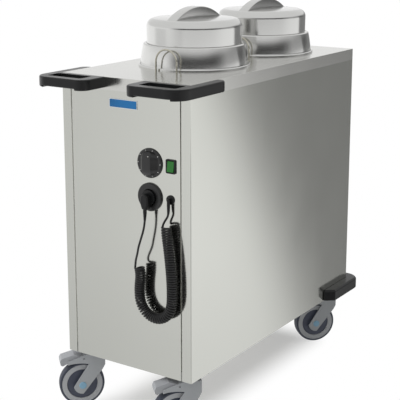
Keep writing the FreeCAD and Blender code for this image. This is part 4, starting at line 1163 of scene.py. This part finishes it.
@dataclass
class Cord:
    """The mains cord: lead, curls and lead in one line, with the parked plug."""

    diameter: float = 5.5
    curl_radius: float = 11.2
    pitch: float = 6.2
    points_per_turn: int = 14
    # How far the curls open in a bend; 1 keeps the inner side fully clear
    crowding: float = 0.25
    # Least value of what a step is divided by in a tight bend
    least_share: float = 0.5
    # How far before and behind a place its bend is measured, in metres
    view: float = 0.02
    # The curls end where the sine of their turn falls to this, at their left side
    end_side: float = -0.97
    lead_points: tuple[int, int] = (12, 20)
    # Share of the first lead that stays on the route, and of the last one that leaves the curls
    lead_shares: Pair = (0.45, 0.3)
    plug_edge: float = 1.2
    relief_length: float = 22.0
    relief_wall: float = 0.3
    relief_stride: int = 3
    relief_rounds: int = 5
    route_steps: int = 24
    gland_relief: float = 4.2
    plug_relief: float = 4.8
    # Places near which the curls begin and end, as in the route
    first_curl: Place = (139.6, 17.3, 573.0)
    last_curl: Place = (61.2, 24.2, 455.0)
    # Route from the gland to the plug: across, out from the panel and up from the floor, in millimetres
    route: list[Place] = field(default_factory=lambda: [
        (141.0, 9.5, 625.5), (141.0, 9.5, 614.5), (141.2, 11.5, 602.5), (139.0, 14.5, 589.5),
        (140.0, 19.0, 563.0), (148.5, 20.5, 519.0), (156.0, 20.5, 455.0), (158.5, 20.5, 406.0),
        (156.5, 20.5, 362.5), (138.0, 20.8, 336.0), (108.5, 21.0, 326.0), (78.5, 21.4, 336.0),
        (59.5, 22.0, 362.5), (57.3, 22.0, 403.0), (63.0, 22.0, 438.0), (58.0, 28.0, 474.0),
        (60.5, 32.5, 502.0), (68.5, 30.0, 530.0), (76.5, 26.5, 558.0), (79.0, 24.0, 584.0),
        (79.0, 24.0, 602.0)])

    def build(self) -> None:
        plug = softened("mains_plug", self.plug_edge)
        plug_piece = add_piece("plug", plug, FINISH.fitting, "cabinet", ["mains_plug"])
        spots = [self.placed(place) for place in self.route]
        route = Path.read("cord_route", thread("cord_route", spots, resolution=self.route_steps))
        line = self.centre_line(route)
        curve = thread("cord", line, radius=self.diameter * MM / 2)
        piece = put("cord", curve)
        curve.materials.append(FINISH.cord.material())
        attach(piece, "cabinet")
        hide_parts("cord_lead_gland", "cord_curl", "cord_lead_plug")
        self.relief("relief_gland", route, self.gland_relief)
        sleeve = self.relief("relief_plug", Path(route.points[::-1]), self.plug_relief)
        length = Path.read("cord_line", thread("cord_line", line)).lengths[-1]
        log.info("cord is %.3f m long", length)

    def relief(self, name: str, path: Path, thick: float) -> bpy.types.Object:
        """A tapered strain relief over the first stretch of the cord.

        Args:
            name: the piece's name.
            path: the cord's route, from the housing on.
            thick: radius at the housing, in millimetres.

        Returns:
            The sleeve.
        """
        reach, thin = self.relief_length * MM, self.diameter / 2 + self.relief_wall
        near = [spot for spot, walked in zip(path.points, path.lengths) if walked <= reach]
        curve = thread(name, near[::self.relief_stride], radius=thin * MM, rounds=self.relief_rounds)
        points = curve.splines[0].points
        for number, point in enumerate(points):
            point.radius = (thick + (thin - thick) * number / (len(points) - 1)) / thin
        mesh = taken(put(name, curve), name)
        mesh.shade_smooth()
        return add_piece(name, mesh, FINISH.fitting, "cabinet")

    @staticmethod
    def placed(place: Place) -> Vector:
        """A place given across, out from the panel and up, as a point in metres."""
        return Vector((place[0] * MM, FRONT - place[1] * MM, place[2] * MM))

    def wound(self, route: Path, distance: float, turn: float, share: float = 1.0) -> Vector:
        """A point of the curls, or one between them and the route.

        Args:
            route: the smooth route.
            distance: metres along it.
            turn: angle round it, in radians.
            share: how far out; 0 is on the route and 1 on the curls.

        Returns:
            The point, in metres.
        """
        spot, way = route.at(distance)
        across = (Vector((0, 1, 0)) - way * way.y).normalized()
        out = across * math.cos(turn) + across.cross(way) * math.sin(turn)
        return spot + out * (self.curl_radius * MM) * share

    def centre_line(self, route: Path) -> list[Vector]:
        """The cord's control points: plain leads, and curls wound round the route.

        Args:
            route: the smooth route.

        Returns:
            The points from the gland to the plug, in metres.
        """
        total, reach = route.lengths[-1], self.curl_radius * MM
        step = self.pitch * MM / self.points_per_turn
        distance, end = [route.nearest(self.placed(place)) for place in (self.first_curl, self.last_curl)]
        (first, last), (straight, leaving) = self.lead_points, self.lead_shares
        # The leads run in and out at the left side of the curls
        angle = math.pi / 2
        line = []
        for number in range(first):
            share = ease((number / first - straight) / (1 - straight))
            line.append(self.wound(route, distance * number / first, angle, share))
        while distance < end or math.sin(angle) > self.end_side:
            line.append(self.wound(route, distance, angle))
            angle += 2 * math.pi / self.points_per_turn
            crowded = self.crowding * reach * route.bend(distance, self.view)
            distance += step / max(1 - crowded, self.least_share)
        for number in range(1, last + 1):
            share = 1 - ease(number / last / leaving)
            line.append(self.wound(route, distance + (total - distance) * number / last, angle, share))
        return line


@dataclass
class Castor:
    """One swivel castor: fork, axle, wheel and, at the front, its brake pedal."""

    name: str
    wheel: float = 62.5
    tread_crown: float = 0.6
    tread_edge: float = 3.6
    tread_sweep: float = 60.0
    tyre: float = 55.6
    flank: float = 14.0
    hub: float = 42.0
    web: float = 10.0
    bore: float = 6.1
    boss: float = 12.0
    boss_face: float = 19.0
    # Radii of the rim's outer edges, and where its web meets the boss and the hub's wall
    rim_edge: float = 1.0
    web_corners: Pair = (0.6, 0.8)
    cover_gap: float = 0.2
    cover_face: float = 12.0
    cover_edges: Pair = (0.5, 0.8)
    pin: float = 6.0
    cap: float = 10.0
    cap_back: float = 25.0
    cap_face: float = 27.0
    cap_edges: Pair = (1.4, 0.2)
    axle_segments: int = 64
    fork_edge: float = 2.4
    pedal_edge: float = 2.2

    @staticmethod
    def places() -> tuple[str, ...]:
        """Names of the four corners."""
        return "front_left", "front_right", "rear_left", "rear_right"

    def __post_init__(self) -> None:
        """Find the wheel's axle."""
        roll = joint(f"wheel_{self.name}_roll")
        turn = Vector(roll["axis"]).to_track_quat("Z", "Y").to_matrix().to_4x4()
        self.axle = Matrix.Translation(roll["pos_m"]) @ turn

    def build(self) -> None:
        """Make the castor's pieces."""
        name, body, wheel = self.name, f"castor_{self.name}", f"wheel_{self.name}"
        fork = softened(f"castor_fork_{name}", self.fork_edge)
        add_piece(f"fork_{name}", fork, FINISH.fork, body, [f"castor_fork_{name}"])
        add_piece(f"tread_{name}", self.tread(), FINISH.tyre, wheel, [f"tyre_{name}"])
        add_piece(f"rim_{name}", self.rim(), FINISH.rim, wheel, [f"wheel_rim_{name}"])
        covers = merged("covers", [self.cover(1), self.cover(-1)])
        add_piece(f"covers_{name}", covers, FINISH.hub, wheel, [f"hub_cover_{name}"])
        add_piece(f"axle_{name}", self.pin_and_caps(), FINISH.cap, body, [f"castor_axle_{name}"])
        if name.startswith("front"):
            pedal = f"brake_pedal_{name}"
            mesh = softened(pedal, self.pedal_edge)
            add_piece(f"pedal_{name}", mesh, FINISH.pedal, pedal, [pedal])

    def tread(self) -> Mesh:
        """Spin the tyre with its slightly crowned tread.

        Returns:
            The tyre's mesh.
        """
        flank, side, edge = self.flank, self.wheel - self.tread_crown, self.tread_edge
        line = rounded([
            (self.tyre, -flank, 0), (side, -flank, edge), (self.wheel, 0, self.tread_sweep),
            (side, flank, edge), (self.tyre, flank, 0)])
        return lathe("tread", line, self.axle)

    def rim(self) -> Mesh:
        """Spin the rim with its web and boss.

        Returns:
            The rim's mesh.
        """
        edge, (inner, outer) = self.rim_edge, self.web_corners
        line = mirrored([
            (self.bore, self.boss_face, 0), (self.boss, self.boss_face, edge), (self.boss, self.web, inner),
            (self.hub, self.web, outer), (self.hub, self.flank, edge), (self.tyre, self.flank, 0)], SMALL)
        return lathe("rim", line, self.axle)

    def cover(self, side: int) -> Mesh:
        """Spin the hub cover of one side.

        Args:
            side: 1 or -1 along the axle.

        Returns:
            The cover's mesh.
        """
        inner, outer = self.boss + self.cover_gap, self.hub - self.cover_gap
        back, face, (near, far) = self.web * side, self.cover_face * side, self.cover_edges
        line = rounded([(inner, back, 0), (inner, face, near), (outer, face, far), (outer, back, 0)], SMALL)
        return lathe("cover", line, self.axle)

    def pin_and_caps(self) -> Mesh:
        """Spin the axle with a cap at either end.

        Returns:
            The axle's mesh.
        """
        front, rear = self.cap_edges
        line = mirrored([
            (0, self.cap_face, 0), (self.cap, self.cap_face, front), (self.cap, self.cap_back, rear),
            (self.pin, self.cap_back, 0)], SMALL)
        return lathe("axle", line, self.axle, self.axle_segments)


# Studio

class Measure(Enum):
    """What a mask of the sky goes by."""

    RISE = "sine of the height above the horizon"
    TURN = "angle from +Y towards +X, in degrees"
    LEAN = "that angle with an edge that leans, in degrees"
    NEAR = "cosine of the angle to a level direction"


@dataclass(frozen=True)
class Mask:
    """A part of the sky that fades in smoothly between two values of its measure."""

    measure: Measure
    nothing: float
    full: float
    # The level direction, as an angle from +Y towards +X in degrees
    toward: float = 0.0


@dataclass(frozen=True)
class Shade:
    """The share of the light that metal sees where all of these masks are full."""

    level: float
    masks: tuple[Mask, ...]


HORIZON = (Mask(Measure.RISE, -0.05, 0.01), Mask(Measure.RISE, 0.3, 0.14))
AHEAD = (Mask(Measure.NEAR, 0.7, 0.88, 215.0), Mask(Measure.RISE, 0.05, -0.05))


class Sky:
    """A world's node tree with the measures of the direction that is looked in."""

    def __init__(self, tree: Tree, lean: float) -> None:
        """Work the measures out.

        Args:
            tree: the world's tree.
            lean: how far a leaning edge moves with the height.
        """
        self.tree = tree
        self.sight = add_node(tree, "ShaderNodeTexCoord").outputs["Generated"]
        x, y, rise = add_node(tree, "ShaderNodeSeparateXYZ", {0: self.sight}).outputs
        turn = add_node(tree, "ShaderNodeMath", {0: x, 1: y}, operation="ARCTAN2")
        leaning = add_node(tree, "ShaderNodeMath", {0: rise, 1: lean, 2: turn}, operation="MULTIPLY_ADD")
        self.measures = {Measure.RISE: rise, Measure.TURN: turn, Measure.LEAN: leaning}

    def part(self, *masks: Mask) -> Node:
        """The part of the sky where all of these masks are full.

        Args:
            masks: one mask or more.

        Returns:
            The node that gives their product.
        """
        tree, result = self.tree, None
        for mask in masks:
            low, high, value = mask.nothing, mask.full, self.measures.get(mask.measure)
            if mask.measure is Measure.NEAR:
                turn = math.radians(mask.toward)
                aim = {0: self.sight, 1: (math.sin(turn), math.cos(turn), 0)}
                facing = add_node(tree, "ShaderNodeVectorMath", aim, operation="DOT_PRODUCT")
                value = facing.outputs["Value"]
            if mask.measure in (Measure.TURN, Measure.LEAN):
                low, high = math.radians(low), math.radians(high)
            limits = {"Value": value, "From Min": low, "From Max": high}
            share = add_node(tree, "ShaderNodeMapRange", limits, interpolation_type="SMOOTHSTEP")
            if result is not None:
                share = add_node(tree, "ShaderNodeMath", {0: result, 1: share}, operation="MULTIPLY")
            result = share
        return result


@dataclass
class Surroundings:
    """The world: white to the eye, a studio with bright and dark sides to metal, soft light to the rest."""

    lean: float = -0.36
    right: Mask = Mask(Measure.LEAN, 34.2, 37.4)
    left: Mask = Mask(Measure.TURN, -12.0, -26.0)
    overhead: Mask = Mask(Measure.RISE, 0.05, 0.2)
    # Levels behind the cabinet, and to its sides and above it
    metal_levels: Pair = (0.26, 1.08)
    shades: tuple[Shade, ...] = (
        # The horizon is dark on the viewer's side and dim to the right of it
        Shade(0.02, (*HORIZON, Mask(Measure.NEAR, 0.3, 0.85, 140.0))),
        Shade(0.4, (*HORIZON, Mask(Measure.NEAR, 0.5, 0.9, 60.0))),
        # The floor is dark on the viewer's side and a little dull ahead of the panel
        Shade(0.15, (Mask(Measure.NEAR, 0.7, 0.95, 140.0), Mask(Measure.RISE, -0.18, -0.24))),
        Shade(0.85, AHEAD),
        Shade(0.86, (*AHEAD, Mask(Measure.TURN, -147.0, -138.0))),
        # It gets duller close by, and the upper sky is less bright than the horizon
        Shade(0.88, (Mask(Measure.RISE, -0.28, -0.42),)),
        Shade(0.78, (Mask(Measure.RISE, 0.02, 0.2),)))
    # Matt surfaces get more light from the left front than from the right
    soft_side: Mask = Mask(Measure.NEAR, -0.6, 0.6, 240.0)
    soft_levels: Pair = (0.22, 0.95)

    def build(self) -> None:
        """Make the world and choose its level by the kind of ray."""
        world = bpy.data.worlds.new("Studio")
        bpy.context.scene.world = world
        world.use_nodes = True
        tree = world.node_tree
        tree.nodes.clear()
        sky = Sky(tree, self.lean)
        sides = {0: sky.part(self.right), 1: sky.part(self.left)}
        level_sides = add_node(tree, "ShaderNodeMath", sides, operation="MAXIMUM")
        around = {0: level_sides, 1: sky.part(self.overhead)}
        bright = add_node(tree, "ShaderNodeMath", around, operation="MAXIMUM")
        metal, matt = [
            add_node(tree, "ShaderNodeMapRange", {"Value": part, "To Min": least, "To Max": most})
            for part, (least, most) in (
                (bright, self.metal_levels), (sky.part(self.soft_side), self.soft_levels))]
        for shade in self.shades:
            left = {"Value": sky.part(*shade.masks), "To Min": 1.0, "To Max": shade.level}
            share = add_node(tree, "ShaderNodeMapRange", left)
            metal = add_node(tree, "ShaderNodeMath", {0: metal, 1: share}, operation="MULTIPLY")
        rays = add_node(tree, "ShaderNodeLightPath").outputs
        sharp = {0: rays["Is Glossy Ray"], 1: rays["Is Transmission Ray"]}
        shiny = add_node(tree, "ShaderNodeMath", sharp, operation="MAXIMUM")
        soft = add_node(tree, "ShaderNodeMix", {0: shiny, 2: matt, 3: metal})
        level = add_node(tree, "ShaderNodeMix", {0: rays["Is Camera Ray"], 2: soft, 3: 1.0})
        light = add_node(tree, "ShaderNodeBackground", {"Color": (1, 1, 1, 1), "Strength": level})
        add_node(tree, "ShaderNodeOutputWorld", {"Surface": light})


@dataclass(frozen=True)
class Lamp:
    """A square soft lamp: its place and size in metres, and its power in watts."""

    name: str
    spot: Place
    power: float
    size: float


@dataclass
class Studio:
    """Floor, surroundings, lamps and camera."""

    eye_mm: Place = (1620.2, -2077.7, 1323.2)
    azimuth: float = 33.82
    elevation: float = 12.232
    focal_px: float = 1066.6
    picture_px: float = 400.0
    sensor_mm: float = 36.0
    shift: float = -0.13
    floor_radius: float = 6.0
    floor_segments: int = 96
    floor_colour: str = "F4F4F3"
    # Half the sides of the floor that keeps its full shadow, and how far it fades, in metres
    footprint: Place = (0.06, 0.33, 0.0)
    fade: float = 0.14
    # Light of the floor that only the camera sees
    lift: float = 0.2
    # A large soft key from the upper left front and a weaker fill from the right
    key: Lamp = Lamp("key", (-1.8, -2.6, 3.2), 62.0, 2.4)
    fill: Lamp = Lamp("fill", (2.8, -1.6, 2.2), 5.0, 2.0)
    lamp_aim: Place = (0.0, 0.0, 0.5)

    def build(self) -> None:
        """Set the stage."""
        bpy.context.scene.view_settings.view_transform = "Standard"
        self.floor()
        Surroundings().build()
        self.lamps()
        self.camera()

    def floor(self) -> None:
        """A pale floor that keeps the shadow and fades into the white background."""
        work = bmesh.new()
        bmesh.ops.create_circle(work, cap_ends=True, segments=self.floor_segments, radius=self.floor_radius)
        mesh = bpy.data.meshes.new("floor")
        work.to_mesh(mesh)
        work.free()
        made = bpy.data.materials.new("Matt white floor")
        made.use_nodes = True
        tree = made.node_tree
        tree.nodes.clear()
        place = add_node(tree, "ShaderNodeTexCoord").outputs["Object"]
        folded = add_node(tree, "ShaderNodeVectorMath", {0: place}, operation="ABSOLUTE")
        beyond = add_node(tree, "ShaderNodeVectorMath", {0: folded, 1: self.footprint}, operation="SUBTRACT")
        outside = add_node(tree, "ShaderNodeVectorMath", {0: beyond, 1: (0, 0, 0)}, operation="MAXIMUM")
        reach = add_node(tree, "ShaderNodeVectorMath", {0: outside}, operation="LENGTH").outputs["Value"]
        span = {"Value": reach, "From Min": 0.0, "From Max": self.fade}
        fade = add_node(tree, "ShaderNodeMapRange", span, interpolation_type="SMOOTHSTEP")
        seen = add_node(tree, "ShaderNodeLightPath").outputs["Is Camera Ray"]
        lift = add_node(tree, "ShaderNodeMath", {0: seen, 1: self.lift}, operation="MULTIPLY")
        matt = add_node(tree, "ShaderNodeBsdfDiffuse", {"Color": linear(self.floor_colour)})
        glow = add_node(tree, "ShaderNodeEmission", {"Strength": lift})
        near = add_node(tree, "ShaderNodeAddShader", {0: matt, 1: glow})
        shown = add_node(tree, "ShaderNodeMath", {0: fade, 1: seen}, operation="MULTIPLY")
        white = add_node(tree, "ShaderNodeEmission", {"Strength": 1.0})
        both = add_node(tree, "ShaderNodeMixShader", {0: shown, 1: near, 2: white})
        add_node(tree, "ShaderNodeOutputMaterial", {"Surface": both})
        mesh.materials.append(made)
        floor = put("floor", mesh)
        floor.visible_glossy = False

    def lamps(self) -> None:
        """Hang the lamps and aim them at the object."""
        for lamp in (self.key, self.fill):
            light = bpy.data.lights.new(lamp.name, "AREA")
            light.energy, light.size = lamp.power, lamp.size
            hung = put(lamp.name, light)
            hung.location = lamp.spot
            way = Vector(self.lamp_aim) - Vector(lamp.spot)
            hung.rotation_euler = way.to_track_quat("-Z", "Y").to_euler()
            hung.visible_glossy = False

    def camera(self) -> None:
        """Look from the photograph's side."""
        lens = bpy.data.cameras.new("camera")
        lens.sensor_width = self.sensor_mm
        lens.lens = self.focal_px / self.picture_px * lens.sensor_width
        lens.shift_y = self.shift
        eye = put("camera", lens)
        x, y, z = self.eye_mm
        eye.location = (x * MM, y * MM + FRONT, z * MM)
        turn, tilt = math.radians(self.azimuth), math.radians(self.elevation)
        back = Vector((math.sin(turn) * math.cos(tilt), -math.cos(turn) * math.cos(tilt), math.sin(tilt)))
        eye.rotation_euler = (-back).to_track_quat("-Z", "Y").to_euler()
        bpy.context.scene.camera = eye


def main() -> None:
    """Build every sub-assembly in order."""
    logging.basicConfig(level=logging.INFO, format="%(name)s: %(message)s")
    Studio().build()
    Cord().build()
    Cabinet().build()
    for end in ("front", "rear"):
        PlateTube(end).build()
    Controls().build()
    for name in Castor.places():
        Castor(name).build()


if __name__ == "__main__":
    main()
